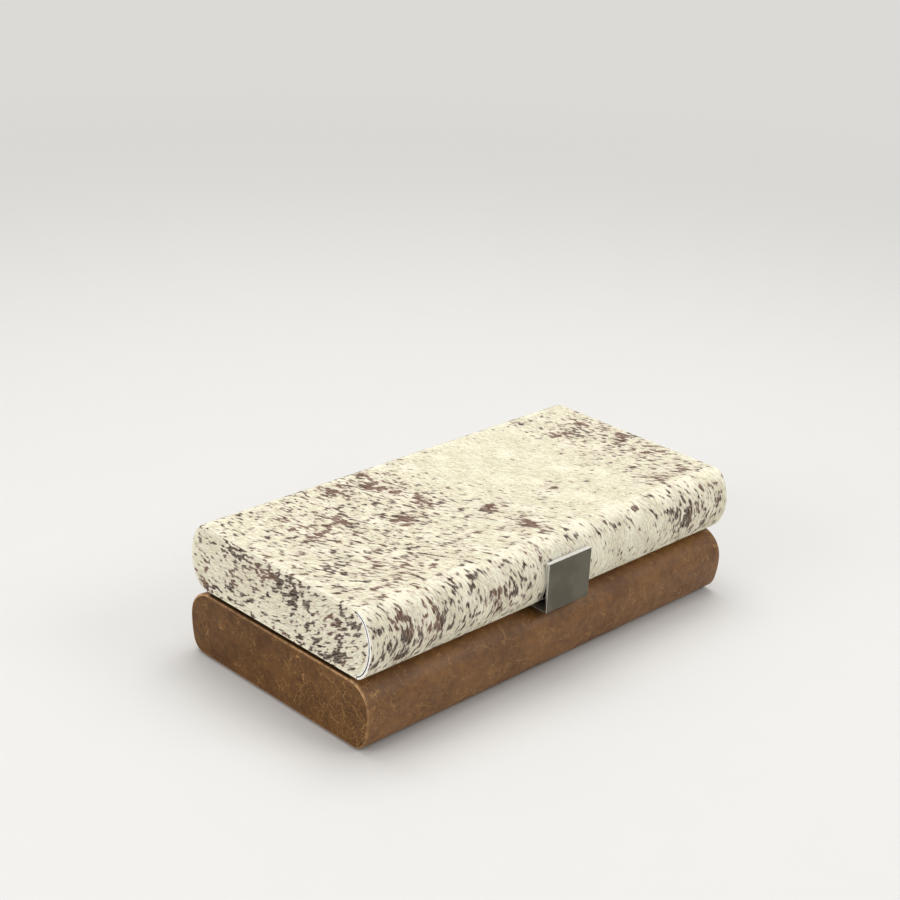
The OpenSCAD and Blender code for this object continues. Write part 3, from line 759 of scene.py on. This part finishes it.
def wrap_tones(outline, x, s):
    """Dark hair over the wrap: by x and y on top, and by x and height on the sides."""
    y, z, ny, _ = outline.section(s)
    side = ease(np.abs(ny), 0.1, 0.75)
    sides = np.where(ny < 0, fleck_share(x, z, FRONT_PATCHES), fleck_share(x, z, BACK_PATCHES))
    share = fleck_share(x, y, TOP_PATCHES) * (1 - side) + sides * side
    blots = BLOT_WARMTH * (share - PLAIN_SHARE) * (1 - 0.7 * side)
    warmth = TOP_WARMTH * (1 - side) + SIDE_WARMTH * side + blots
    return {"fleck_share": share, "warmth": np.clip(warmth, 0, 1)}


def end_tones(forward, height):
    share = fleck_share(forward, height, END_PATCHES)
    warmth = END_WARMTH + BLOT_WARMTH / 3 * (share - PLAIN_SHARE)
    return {"fleck_share": share, "warmth": np.clip(warmth, 0, 1)}


def hair_slope(outline, s):
    return np.interp(s / outline.length, FLOW_PLACES, FLOW_SLOPES)


FLOW_STEPS = 400            # along the path, over which the slope is added up


def wrap_flow(outline, x, s):
    """Flow coordinates on the wrap: across the hair and along it."""
    table = np.linspace(0, outline.length, FLOW_STEPS)
    slope = hair_slope(outline, table)
    drift = np.concatenate(([0], np.cumsum((slope[1:] + slope[:-1]) / 2 * np.diff(table))))
    return np.stack((x - np.interp(s, table, drift), s), -1)


def end_flow(forward, height):
    """Flow coordinates on an end face of the lid."""
    return np.stack((height - forward * (END_SLOPE + END_BEND / 2 * forward), forward), -1)


# ---- Coverings ----

def lid_outline():
    z = sizes()
    mouth = -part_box("lid_front_lining")[0][1]
    return HalfOutline("lid_hide", z.lid_rim_radius, z.lid_rim_cut, z.lid_crown_radius, z.lid_crown_rise,
                       z.lid_top_radius, mouth, opens_up=False)


def base_outline():
    z = sizes()
    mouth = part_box("floor_lining")[1][1]
    return HalfOutline("base_leather", z.base_low_radius, 0.0, z.base_crown_radius, z.base_crown_rise,
                       z.base_rim_radius, mouth, opens_up=True)


CUT_ROLL = 0.3 * MM         # rounding of the hide's cut edge
RIM_ROLL = 0.8 * MM         # rounding of the end panels where they turn over the rim
CLEAR = 0.05 * MM           # between pieces that lie side by side
SEAM_RUN = 4 * MM           # over which the fold at the ends gives way to a cut edge
HIDE_WAVES, LEATHER_WAVES = 0.16 * MM, 0.13 * MM            # unevenness of the wraps
HIDE_END_WAVES, LEATHER_END_WAVES = 0.12 * MM, 0.10 * MM    # and of the end panels
RING_STEP = 2.4 * MM        # between points round a wrap
BEND_POINTS = 14            # more of them for each radian that it bends
WRAP_STEP = 2.2 * MM        # between points along X
END_BAND = 3.2 * MM         # at each end, with points for the rounding alone
ROLL_POINTS = 7             # over a rounded end
PANEL_ROWS, PANEL_COLUMNS = 48, 93          # of points over an end face
ROW_CROWDING, COLUMN_CROWDING = 2.2, 2.0    # and how much closer they lie towards its edges
STRIP_POINTS = 60           # along the strip on an end's rim
WRAP_WAVE, PANEL_WAVE = 26 * MM, 24 * MM    # length of the waves of unevenness
RIM_CALM, END_CALM = 6 * MM, 4 * MM         # over which they fade out towards a wrap's rims and ends
PANEL_CALM = 5 * MM         # and towards the edges of an end panel


def fold_at(outline, y):
    """Radius at which the hide turns at its ends: folded over on the top and the back, cut on the front."""
    share = ease(-y, outline.closed_y + SEAM_RUN / 2, outline.closed_y + SEAM_RUN)
    return sizes().fold_radius * (1 - share) + CUT_ROLL * share


def path_places(outline, spacing):
    """Lengths along the path, closer together where it bends, with a step at both rims' outer corners."""
    bend = np.hypot(np.diff(outline.path[:, 2]), np.diff(outline.path[:, 3]))
    cost = np.concatenate(([0], np.cumsum(np.diff(outline.s) / spacing + bend * BEND_POINTS)))
    places = np.interp(np.linspace(0, cost[-1], int(cost[-1]) + 1), cost, outline.s)
    corner = np.array((outline.rim_s - 2 * CLEAR, outline.rim_s))
    return np.unique(np.concatenate((places, corner, outline.length - corner)))


def wrap_arrays(outline, radius, uneven, seed):
    """The closed shell of a wrap. radius(s) rounds its ends, and uneven is the height of its waves.
    Returns verts, faces, is_end, x, s and the number of outer points, which come first, in a ring."""
    skin = sizes().skin
    s = path_places(outline, RING_STEP)
    ring = len(s)
    round_off = radius(s)
    depth = np.minimum(round_off, skin - CLEAR)
    turn = np.linspace(0, 1, ROLL_POINTS)[:, None] * np.arccos(1 - depth / round_off)[None, :]
    end_x = outline.half_x - round_off * (1 - np.sin(turn))
    end_fall = round_off * (1 - np.cos(turn))
    inner_x = outline.half_x - END_BAND
    middle = np.linspace(-inner_x, inner_x, int(2 * inner_x / WRAP_STEP))[:, None] + np.zeros(ring)
    x = np.concatenate((-end_x[::-1], middle, end_x))
    fall = np.concatenate((end_fall[::-1], np.zeros(middle.shape), end_fall))
    on_rim = (s < outline.rim_s - CLEAR) | (s > outline.length - outline.rim_s + CLEAR)
    reach = outline.half_x - np.where(on_rim, skin + CLEAR, 0)
    x = np.clip(x, -reach, reach)
    y, z, ny, nz = outline.section(s)
    from_rim = np.minimum(s, outline.length - s)
    calm = ease(from_rim, 0, RIM_CALM) * ease(outline.half_x - np.abs(x), 0, END_CALM)
    height = ripple(x, s, WRAP_WAVE, seed) * uneven * calm - fall
    outer = np.stack((x, y + ny * height, z + nz * height), -1)
    inner = np.stack((x, y - ny * skin + 0 * x, z - nz * skin + 0 * x), -1)[:, ::-1]
    verts = np.concatenate((outer, inner), 1).reshape(-1, 3)
    loop = 2 * ring
    faces = []
    for i in range(len(x) - 1):
        a = i * loop
        faces += [(a + k, a + (k + 1) % loop, a + loop + (k + 1) % loop, a + loop + k) for k in range(loop)]
    sides = len(faces)
    for a, order in ((0, 1), ((len(x) - 1) * loop, -1)):
        caps = [(a + k, a + loop - 1 - k, a + loop - 2 - k, a + k + 1) for k in range(ring - 1)]
        faces += [cap[::order] for cap in caps]
    is_end = np.arange(len(faces)) >= sides
    x, s = (np.concatenate((grid, grid[:, ::-1]), 1).ravel() for grid in (x, s + 0 * x))
    return verts, faces, is_end, x, s, ring


def build_hide_wrap():
    """The lid's one sheet of hide over front, top and back, with pale cut edges at the front."""
    outline = lid_outline()

    def radius(s):
        return fold_at(outline, outline.section(s)[0])

    verts, faces, is_end, x, s, ring = wrap_arrays(outline, radius, HIDE_WAVES, SEED + 1)
    on_curve = -outline.section(s)[0] > outline.closed_y + SEAM_RUN * 0.8
    hidden = np.array([min(v % (2 * ring) for v in face) >= ring for face in faces])
    cut = is_end & on_curve[[face[0] for face in faces]]
    # The inner faces get the flesh side's dark colour, which paints the shade where they show in the joint.
    finish = np.where(hidden, 2, cut)
    piece = mesh_object("hide_wrap", verts, faces, ("hide_sheet", "hide_cut_edge", "hide_flesh_side"), finish,
                        wrap_flow(outline, x, s), wrap_tones(outline, x, s))
    place_piece(piece, "lid", ("lid_hide",))


def build_leather_wrap():
    """The base's sheet of leather over back, underside and front, rubbed pale at its end edges."""
    outline = base_outline()
    edge_radius = sizes().skin - CLEAR
    verts, faces, _, x, s, _ = wrap_arrays(
        outline, lambda s: np.full(np.shape(s), edge_radius), LEATHER_WAVES, SEED + 2)
    y, z, _, _ = outline.section(s)
    from_rim = np.minimum(s, outline.length - s)
    from_end = outline.half_x - np.abs(x)
    low_front = ease(-y, 55 * MM, 76 * MM) * ease(outline.high_z - z, 8 * MM, 34 * MM)
    high_corner = 0.3 + 0.7 * ease(z, outline.high_z - 12 * MM, outline.high_z - 5 * MM)
    wear = 0.8 * high_corner * np.exp(-(from_end / (0.9 * MM)) ** 2)
    veining = 0.38 + 0.34 * low_front + 0.36 * np.exp(-(from_end / (22 * MM)) ** 2)
    # Painted shade on the rim's top, which lies in the joint under the lid.
    painted_joint_shade = 1 - ease(from_rim, outline.rim_s, outline.rim_s + 1 * MM)
    piece = mesh_object("leather_wrap", verts, faces, ("waxed_leather",), None, np.stack((x, s), -1),
                        {"wear": wear, "veining": np.clip(veining, 0, 1), "painted_joint_shade": painted_joint_shade})
    place_piece(piece, "base", ("base_leather",))


def crowded(count, power):
    """Numbers from -1 to 1, closer together at both ends."""
    t = np.linspace(-1, 1, count)
    return np.sign(t) * (1 - (1 - np.abs(t)) ** power)


def panel_arrays(outline, end, front_border, fold_fall, opens_up, uneven, seed):
    """A closed panel on an end face, cut front_border inside the outline's front curve, meeting the wrap
    elsewhere, and turned over the rim. fold_fall(y, depth) is how far it falls away at a depth inside the
    outline. Returns verts, faces and the distance from the cut edge."""
    skin = sizes().skin
    low, high = outline.low_z, outline.high_z
    if opens_up:
        low = low + skin + CLEAR
    else:
        high = high - skin - CLEAR
    z = low + (high - low) * (crowded(PANEL_ROWS, ROW_CROWDING) + 1) / 2
    across = crowded(PANEL_COLUMNS, COLUMN_CROWDING)[None, :]
    front = outline.width_at(z, front_border)[:, None]
    back = outline.width_at(z, skin + CLEAR)[:, None]
    y = np.where(across < 0, front, back) * across
    z = z[:, None] + 0 * y
    curve = outline.side[::2]
    cut = curve[:, :2] - curve[:, 2:] * front_border
    cut_gap = np.hypot(y[..., None] + cut[:, 0], z[..., None] - cut[:, 1]).min(-1)
    back_gap = np.hypot(y[..., None] - curve[:, 0], z[..., None] - curve[:, 1]).min(-1)
    rim_gap = outline.high_z - z if opens_up else z - outline.low_z
    closed_gap = z - outline.low_z if opens_up else outline.high_z - z
    depth = np.minimum(back_gap, closed_gap)
    fall = np.maximum(edge_fall(rim_gap, RIM_ROLL), fold_fall(y, depth))
    if front_border > skin + CLEAR:
        fall = np.maximum(fall, edge_fall(cut_gap, CUT_ROLL))
    calm = ease(cut_gap, 0, PANEL_CALM) * ease(rim_gap, 0, PANEL_CALM) * ease(depth, 0, PANEL_CALM)
    out = outline.half_x - fall + ripple(y, z, PANEL_WAVE, seed) * uneven * calm
    outer = np.stack((end * out, y, z), -1)
    inner = np.stack((np.full(y.shape, end * (outline.half_x - skin)), y, z), -1)
    verts = np.concatenate((outer.reshape(-1, 3), inner.reshape(-1, 3)))
    rows, columns = y.shape

    def at(i, j, layer):
        return layer * rows * columns + i * columns + j

    faces = []
    for i in range(rows - 1):
        for j in range(columns - 1):
            faces.append((at(i, j, 0), at(i, j + 1, 0), at(i + 1, j + 1, 0), at(i + 1, j, 0)))
            faces.append((at(i, j, 1), at(i + 1, j, 1), at(i + 1, j + 1, 1), at(i, j + 1, 1)))
    border = [(0, j) for j in range(columns)] + [(i, columns - 1) for i in range(1, rows)]
    border += [(rows - 1, j) for j in range(columns - 2, -1, -1)] + [(i, 0) for i in range(rows - 2, 0, -1)]
    for here, following in zip(border, border[1:] + border[:1]):
        faces.append((at(*here, 0), at(*here, 1), at(*following, 1), at(*following, 0)))
    if end < 0:
        faces = [face[::-1] for face in faces]
    return verts, faces, np.tile(cut_gap.ravel(), 2)


def rim_strip(outline, end, inner_x, opens_up):
    """The part of an end panel that lies on the end board's rim, as a closed strip."""
    skin = sizes().skin
    mouth = outline.mouth - CLEAR
    x0, x1 = end * inner_x, end * (outline.half_x - skin)
    z0, z1 = (outline.high_z - skin, outline.high_z) if opens_up else (outline.low_z, outline.low_z + skin)
    y = np.linspace(-mouth, mouth, STRIP_POINTS)
    verts = [(x, place, z) for place in y for x, z in ((x0, z0), (x1, z0), (x1, z1), (x0, z1))]
    faces = []
    for k in range(len(y) - 1):
        a = 4 * k
        faces += [(a + c, a + (c + 1) % 4, a + 4 + (c + 1) % 4, a + 4 + c) for c in range(4)]
    faces += [(3, 2, 1, 0), tuple(4 * (len(y) - 1) + c for c in range(4))]
    if end > 0:
        faces = [face[::-1] for face in faces]
    return np.array(verts), faces


NO_EDGE = 1.0               # distance from a cut edge where there is none


def end_panel(outline, end, inner_x, front_border, fold_fall, opens_up, uneven):
    """An end panel with its strip on the rim: verts, faces, forward distance, height and cut distance."""
    verts, faces, gap = panel_arrays(outline, end, front_border, fold_fall, opens_up, uneven, SEED + 7 + end)
    strip_verts, strip_faces = rim_strip(outline, end, inner_x, opens_up)
    faces = faces + [tuple(v + len(verts) for v in face) for face in strip_faces]
    gap = np.concatenate((gap, np.full(len(strip_verts), NO_EDGE)))
    verts = np.concatenate((verts, strip_verts))
    return verts, faces, -verts[:, 1], verts[:, 2], gap


def build_hide_ends():
    """The two hide panels on the lid's ends, folded over at the top and the back, and cut at the front."""
    outline = lid_outline()
    z = sizes()
    inner_x = abs(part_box("lid_left_hide")[1][0])

    def fold_fall(y, depth):
        return edge_fall(depth, fold_at(outline, y))

    for side, end in (("left", -1), ("right", 1)):
        verts, faces, forward, height, gap = end_panel(
            outline, end, inner_x, z.skin + z.joint, fold_fall, False, HIDE_END_WAVES)
        near_cut = gap < z.pale_edge
        inwards = outline.half_x - np.abs(verts[:, 0])
        on_rim = height < outline.low_z + CLEAR
        finish = []
        for face in faces:
            # Faces inside the joint get the flesh side's dark colour, which is painted shade there.
            flesh = any(inwards[v] > z.skin - CLEAR for v in face) and not all(on_rim[v] for v in face)
            finish.append(2 if flesh else int(all(near_cut[v] for v in face)))
        unrolled = np.where(on_rim, height - inwards, height)
        piece = mesh_object(f"hide_end_{side}", verts, faces,
                            ("hide_sheet", "hide_cut_edge", "hide_flesh_side"), finish,
                            end_flow(forward, unrolled), end_tones(forward, unrolled), sharp=50)
        place_piece(piece, "lid", (f"lid_{side}_hide",))


ENDS_APART = 1.0            # shift of the veins on the ends, which differ from the wrap's


def build_leather_ends():
    """The two leather panels on the base's ends, with golden veins that thicken towards the low front."""
    outline = base_outline()
    skin = sizes().skin
    inner_x = abs(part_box("base_left_leather")[1][0])

    def no_fall(y, depth):
        return 0 * y

    for side, end in (("left", -1), ("right", 1)):
        verts, faces, forward, height, _ = end_panel(
            outline, end, inner_x, skin + CLEAR, no_fall, True, LEATHER_END_WAVES)
        from_rim = outline.high_z - height
        wear = np.exp(-((from_rim - RIM_ROLL) / (0.65 * MM)) ** 2)
        front_corner = np.exp(-((forward - 64 * MM) / (7 * MM)) ** 2)
        wear *= 0.50 + 0.35 * ease(forward, -20 * MM, 60 * MM) + 0.5 * front_corner
        veining = 0.40 + 0.60 * ease(forward + 0.6 * from_rim, -20 * MM, 90 * MM)
        piece = mesh_object(f"leather_end_{side}", verts, faces, ("waxed_leather_ends_painted_shade",), None,
                            np.stack((forward * end + ENDS_APART, height), -1),
                            {"wear": np.clip(wear, 0, 1), "veining": veining,
                             # Painted shade: the rim top, which lies in the joint under the lid, is darkened.
                             "painted_joint_shade": 1 - ease(from_rim, 0, 0.25 * MM)}, sharp=50)
        place_piece(piece, "base", (f"base_{side}_leather",))


# ---- Hair ----

def strand_arrays(roots, along, lengths, lifts, at, widths):
    """Closed, tapered, three-sided strands on a surface. roots and along are in the surface's two
    coordinates, and at(a, b, height) gives places. Returns verts and faces."""
    across = np.stack((-along[:, 1], along[:, 0]), -1) * widths[:, None] / 2
    ridge = 0.4 * widths
    verts = []
    for side in (-1, 1, 0):
        root = roots + across * side
        verts.append(at(root[:, 0], root[:, 1], BEDDED + ridge * (side == 0)))
    tip = roots + along * lengths[:, None]
    verts.append(at(tip[:, 0], tip[:, 1], BEDDED + lifts))
    pattern = ((0, 1, 2), (0, 3, 1), (1, 3, 2), (2, 3, 0))
    faces = [tuple(4 * k + v for v in face) for k in range(len(roots)) for face in pattern]
    return np.stack(verts, 1).reshape(-1, 3), faces


BEDDED = 0.03 * MM          # height of a root over the hide
WRAP_SPREAD, END_SPREAD = 0.16, 0.2     # of the strands' directions, in radians
END_LENGTH = 0.8            # length of the hair on the end faces, as a share of the wrap's
OVERHANG = 2 * MM           # how far hair runs on over a folded end
SETBACK = 0.2 * MM          # and how far it stays behind a cut one
CLASP_ROOM = 1 * MM         # round the clasp, without hair
SHORTEST = 1.5 * MM         # hair that would be shorter is left out
END_REACH = 75 * MM         # how far roots are drawn forwards and backwards of an end face's middle
DRAWN_OUT = 0.7             # how far along a strand its tip takes its colour
LIFTS = 0.08, 0.30          # of the tips over the hide, in millimetres
WIDTHS = 0.75, 1.25         # of the strands, as shares
SHADE, SHADE_SPREAD, SHADE_LIMITS = 1.02, 0.075, (0.84, 1.12)   # brightness of the strands
ON_FOLD = 0.8               # where the hair of an end face stops, as a share of the fold's radius


def scatter(draw, a_range, b_range, spacing):
    """Jittered places over a rectangle."""
    a = np.arange(a_range[0] + spacing / 2, a_range[1], spacing)
    b = np.arange(b_range[0] + spacing / 2, b_range[1], spacing)
    grid = np.stack(np.meshgrid(a, b, indexing="ij"), -1).reshape(-1, 2)
    return grid + draw.uniform(-0.5, 0.5, grid.shape) * spacing


def combed(draw, slope, spread):
    """Directions of strands that lean sideways by slope, each a little off."""
    turn = np.arctan2(slope, 1) + draw.normal(0, spread, len(slope))
    return np.stack((np.sin(turn), np.cos(turn)), -1)


def hair_piece(name, draw, roots, along, lengths, at, flow_at, tones_at):
    """Strands whose colour follows the hide below them, drawn out a little towards their tips."""
    z = sizes()
    count = len(roots)
    drawn_out = roots + along * (lengths * DRAWN_OUT)[:, None]
    places = np.stack((roots, roots, roots, drawn_out), 1).reshape(-1, 2)
    lifts = draw.uniform(*LIFTS, count) * MM
    widths = z.hair_width * draw.uniform(*WIDTHS, count)
    verts, faces = strand_arrays(roots, along, lengths, lifts, at, widths)
    shade = np.clip(draw.normal(SHADE, SHADE_SPREAD, count), *SHADE_LIMITS)
    piece = mesh_object(name, verts, faces, ("hide_hair",), None, flow_at(places[:, 0], places[:, 1]),
                        {**tones_at(places[:, 0], places[:, 1]), "shade": np.repeat(shade, 4)}, sharp=0)
    place_piece(piece, "lid")


def build_wrap_hair():
    """Hair over the back, the top and the front of the lid, in four pieces."""
    z = sizes()
    outline = lid_outline()
    draw = np.random.default_rng(SEED + 20)
    rim = outline.rim_s + 0.4 * MM
    front_edge = outline.length - outline.closed_s
    middle_s = outline.length / 2
    spans = {"hair_back": (rim, outline.closed_s), "hair_top_back": (outline.closed_s, middle_s),
             "hair_top_front": (middle_s, front_edge), "hair_front": (front_edge, outline.length - rim)}
    clasp_low, clasp_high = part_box("clasp_plate")

    def at(x, s, height):
        return outline.over(x, s, height, fold_at(outline, outline.section(s)[0]))

    for name, span in spans.items():
        roots = scatter(draw, (-outline.half_x, outline.half_x), span, z.hair_spacing)
        along = combed(draw, hair_slope(outline, roots[:, 1]), WRAP_SPREAD)
        lengths = z.hair_length * draw.uniform(0.6, 1.0, len(roots))
        room = np.maximum(outline.length - rim - roots[:, 1], 0)
        lengths = np.minimum(lengths, room / np.maximum(along[:, 1], 0.2))
        radius = fold_at(outline, outline.section(roots[:, 1])[0])
        limit = outline.half_x + np.where(radius > 1 * MM, OVERHANG, -SETBACK)
        reach = limit - roots[:, 0] * np.sign(along[:, 0])
        lengths = np.minimum(lengths, reach / np.maximum(np.abs(along[:, 0]), 0.02))
        tips = roots + along * lengths[:, None]
        y, height = outline.section(tips[:, 1])[:2]
        under_clasp = (np.abs(tips[:, 0]) < clasp_high[0] + CLASP_ROOM) & (y < 0)
        under_clasp &= (height < clasp_high[2]) & (height > clasp_low[2] - CLASP_ROOM)
        keep = (lengths > SHORTEST) & ~under_clasp & (np.abs(roots[:, 0]) < limit - SETBACK)
        roots, along, lengths = roots[keep], along[keep], lengths[keep]
        hair_piece(name, draw, roots, along, lengths, at, lambda x, s: wrap_flow(outline, x, s),
                   lambda x, s: wrap_tones(outline, x, s))


def build_end_hair():
    """Hair on both end faces of the lid."""
    z = sizes()
    outline = lid_outline()
    draw = np.random.default_rng(SEED + 40)
    front_border = z.skin + z.joint + z.pale_edge
    folded = z.fold_radius * ON_FOLD

    def inside(places):
        forward, height = places[:, 0], places[:, 1]
        fits = forward < outline.width_at(height, front_border)
        fits &= -forward < outline.width_at(height, folded)
        return fits & (height > outline.low_z + 0.8 * MM) & (height < outline.high_z - folded)

    for side, end in (("left", -1), ("right", 1)):
        roots = scatter(draw, (-END_REACH, END_REACH), (outline.low_z, outline.high_z), z.hair_spacing)
        along = combed(draw, END_SLOPE + END_BEND * roots[:, 0], END_SPREAD)[:, ::-1]
        lengths = z.hair_length * END_LENGTH * draw.uniform(0.55, 1.0, len(roots))
        keep = inside(roots) & inside(roots + along * lengths[:, None])

        def at(forward, height, lift, end=end):
            return np.stack((end * (outline.half_x + lift), -forward, height), -1)

        hair_piece(f"hair_{side}_end", draw, roots[keep], along[keep], lengths[keep], at, end_flow,
                   end_tones)


# ---- CAD nodes that stay ----

def dress_node(name, material, bevel, edge_material=None):
    """Gives a CAD node its finish and softens its edges with modifiers. The softened edges may have a
    finish of their own."""
    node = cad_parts[name]
    finishes = [material] + ([edge_material] if edge_material else [])
    while len(node.material_slots) < len(finishes):
        node.data.materials.append(None)
    for place, finish in zip(node.material_slots, finishes):
        place.link = "OBJECT"
        place.material = bpy.data.materials[finish]
    if bevel:
        node.modifiers.new("weld", "WELD").merge_threshold = 0.002 * MM
        soft = node.modifiers.new("soft_edges", "BEVEL")
        soft.width = bevel
        soft.segments = 2
        soft.limit_method = "ANGLE"
        soft.angle_limit = math.radians(30)
        soft.harden_normals = True
        if edge_material:
            soft.material = 1


# Finish of a group of nodes: its material, how far its edges are softened and their own material.
FINISHES = {"suede": ("suede_nap", 0.35 * MM, None), "wood": ("carcass_wood", 0.0, None),
            "steel": ("clasp_steel", 0.18 * MM, "clasp_edge_painted_highlight"),
            "nickel": ("satin_nickel", 0.12 * MM, None), "magnet": ("magnet_plate", 0.2 * MM, None)}
PLAIN_EDGES = ("clasp_rivets", "clasp_screws", "base_hinge_screws", "lid_hinge_screws",
               "left_hinge_pin", "right_hinge_pin", "underlay", "floor_lining", "top_lining")


def dress_nodes(groups):
    for finish, names in groups.items():
        material, bevel, edge_material = FINISHES[finish]
        for name in names:
            if name in PLAIN_EDGES:
                dress_node(name, material, 0.0)
            else:
                dress_node(name, material, bevel, edge_material)


# ---- Stage ----

def seen_rays(tree):
    """1 for rays that show the backdrop: from the camera, off gloss and through glass."""
    path = put(tree, "ShaderNodeLightPath").outputs
    return larger(tree, larger(tree, path["Is Camera Ray"], path["Is Glossy Ray"]),
                  path["Is Transmission Ray"])


def mix_shaders(tree, share, a, b, output):
    """Feeds an output node from two shaders, with share as the second one's part."""
    made = tree.nodes.new("ShaderNodeMixShader")
    for socket, source in zip(made.inputs, (share, a.outputs[0], b.outputs[0])):
        tree.links.new(source, socket)
    tree.links.new(made.outputs[0], tree.nodes[output].inputs["Surface"])


FLOOR_SIZE = 40             # metres, so that its edge lies behind every view
BACKDROP_RUN = 0.45, 1.6    # metres from the middle over which the floor turns into the plain backdrop


def build_stage():
    """Floor, backdrop, soft lamps, world and the camera at the photographed angle."""
    scene = bpy.context.scene
    scene.view_settings.view_transform = "Standard"
    bpy.ops.mesh.primitive_plane_add(size=FLOOR_SIZE)
    floor = bpy.context.object
    floor.name = "floor"
    tree, shader = new_material("floor", 0.6)
    place = own_place(tree)
    tone = colours().floor
    feed(tree, shader, Base_Color=blend_colours(tree, noise(tree, place, 30, 3.0), tone, scaled(tone, 0.985)))
    backdrop = put(tree, "ShaderNodeEmission", Color=tone)
    away = put(tree, "ShaderNodeVectorMath", operation="LENGTH")
    tree.links.new(place, away.inputs[0])
    share = times(tree, seen_rays(tree), ramp(tree, away.outputs["Value"], *BACKDROP_RUN))
    mix_shaders(tree, share, shader, backdrop, "Material Output")
    floor.data.materials.append(bpy.data.materials["floor"])
    for name, place, size, power in LAMPS:
        lamp = bpy.data.lights.new(name, "AREA")
        lamp.shape = "RECTANGLE"
        lamp.size, lamp.size_y = size
        lamp.energy = power
        holder = bpy.data.objects.new(name, lamp)
        holder.location = place
        holder.rotation_euler = Vector(place).to_track_quat("Z", "Y").to_euler()
        scene.collection.objects.link(holder)
    world = bpy.data.worlds.new("studio")
    world.use_nodes = True
    tree = world.node_tree
    sky = tree.nodes["Background"]
    feed(tree, sky, Color=(0.90, 0.90, 0.90), Strength=0.55)
    shown = put(tree, "ShaderNodeBackground", Color=tone)
    mix_shaders(tree, seen_rays(tree), sky, shown, "World Output")
    scene.world = world
    place_camera(scene)


# Lamps: name, place, size, power in watts. Each looks at the box.
LAMPS = (
    ("overhead", (0.2, 0.3, 1.7), (1.4, 1.0), 18.5),
    ("front", (0.7, -1.35, 1.2), (1.0, 0.8), 9.5),
    ("left", (-1.6, 0.3, 0.8), (1.0, 0.8), 9.0),
)


def place_camera(scene):
    view = scene.box_view
    ahead = Vector((math.sin(view.yaw) * math.cos(view.pitch), math.cos(view.yaw) * math.cos(view.pitch),
                    -math.sin(view.pitch)))
    level = ahead.cross(Vector((0, 0, 1))).normalized()
    upright = level.cross(ahead)
    across = level * math.cos(view.roll) + upright * math.sin(view.roll)
    up = upright * math.cos(view.roll) - level * math.sin(view.roll)
    camera = bpy.data.cameras.new("camera")
    camera.lens = view.lens
    camera.sensor_width = 36
    holder = bpy.data.objects.new("camera", camera)
    turn = Matrix((across, up, -ahead)).transposed().to_4x4()
    holder.matrix_world = Matrix.Translation(Vector(view.place)) @ turn
    scene.collection.objects.link(holder)
    scene.camera = holder


# ---- Operators ----

class BOX_OT_materials(bpy.types.Operator):
    """Build the node groups and the materials"""
    bl_idname = "box.materials"
    bl_label = "Materials"

    def execute(self, context):
        build_materials()
        return {"FINISHED"}


class BOX_OT_hide_wrap(bpy.types.Operator):
    """Build the hide over the lid's front, top and back"""
    bl_idname = "box.hide_wrap"
    bl_label = "Hide wrap"

    def execute(self, context):
        build_hide_wrap()
        return {"FINISHED"}


class BOX_OT_hide_ends(bpy.types.Operator):
    """Build the hide panels on the lid's end faces"""
    bl_idname = "box.hide_ends"
    bl_label = "Hide end panels"

    def execute(self, context):
        build_hide_ends()
        return {"FINISHED"}


class BOX_OT_hair(bpy.types.Operator):
    """Build the hair of the lid"""
    bl_idname = "box.hair"
    bl_label = "Hair"

    def execute(self, context):
        build_wrap_hair()
        build_end_hair()
        return {"FINISHED"}


class BOX_OT_leather_wrap(bpy.types.Operator):
    """Build the leather over the base's back, underside and front"""
    bl_idname = "box.leather_wrap"
    bl_label = "Leather wrap"

    def execute(self, context):
        build_leather_wrap()
        return {"FINISHED"}


class BOX_OT_leather_ends(bpy.types.Operator):
    """Build the leather panels on the base's end faces"""
    bl_idname = "box.leather_ends"
    bl_label = "Leather end panels"

    def execute(self, context):
        build_leather_ends()
        return {"FINISHED"}


class BOX_OT_carcass(bpy.types.Operator):
    """Finish the wood, lining, hinges and clasp"""
    bl_idname = "box.carcass"
    bl_label = "Carcass, lining and metal"

    def execute(self, context):
        dress_nodes(BASE_NODES)
        dress_nodes(LID_NODES)
        return {"FINISHED"}


class BOX_OT_stage(bpy.types.Operator):
    """Build the floor, the lamps and the camera"""
    bl_idname = "box.stage"
    bl_label = "Stage"

    def execute(self, context):
        build_stage()
        return {"FINISHED"}


STEPS = (BOX_OT_materials, BOX_OT_stage, BOX_OT_carcass, BOX_OT_leather_wrap, BOX_OT_leather_ends,
         BOX_OT_hide_wrap, BOX_OT_hide_ends, BOX_OT_hair)


class BOX_PT_panel(bpy.types.Panel):
    """Lists the steps that build the box"""
    bl_idname = "BOX_PT_panel"
    bl_label = "Stationery box"
    bl_space_type = "VIEW_3D"
    bl_region_type = "UI"
    bl_category = "Box"

    def draw(self, context):
        for step in STEPS:
            self.layout.operator(step.bl_idname)


CLASSES = (BoxSizes, BoxColours, BoxView, *STEPS, BOX_PT_panel)


def register():
    for item in CLASSES:
        bpy.utils.register_class(item)
    bpy.types.Scene.box_sizes = PointerProperty(type=BoxSizes)
    bpy.types.Scene.box_colours = PointerProperty(type=BoxColours)
    bpy.types.Scene.box_view = PointerProperty(type=BoxView)


def unregister():
    del bpy.types.Scene.box_view
    del bpy.types.Scene.box_colours
    del bpy.types.Scene.box_sizes
    for item in reversed(CLASSES):
        bpy.utils.unregister_class(item)


def main():
    register()
    bpy.ops.box.materials()
    bpy.ops.box.stage()
    bpy.ops.box.carcass()
    bpy.ops.box.leather_wrap()
    bpy.ops.box.leather_ends()
    bpy.ops.box.hide_wrap()
    bpy.ops.box.hide_ends()
    bpy.ops.box.hair()


if __name__ == "__main__":
    main()
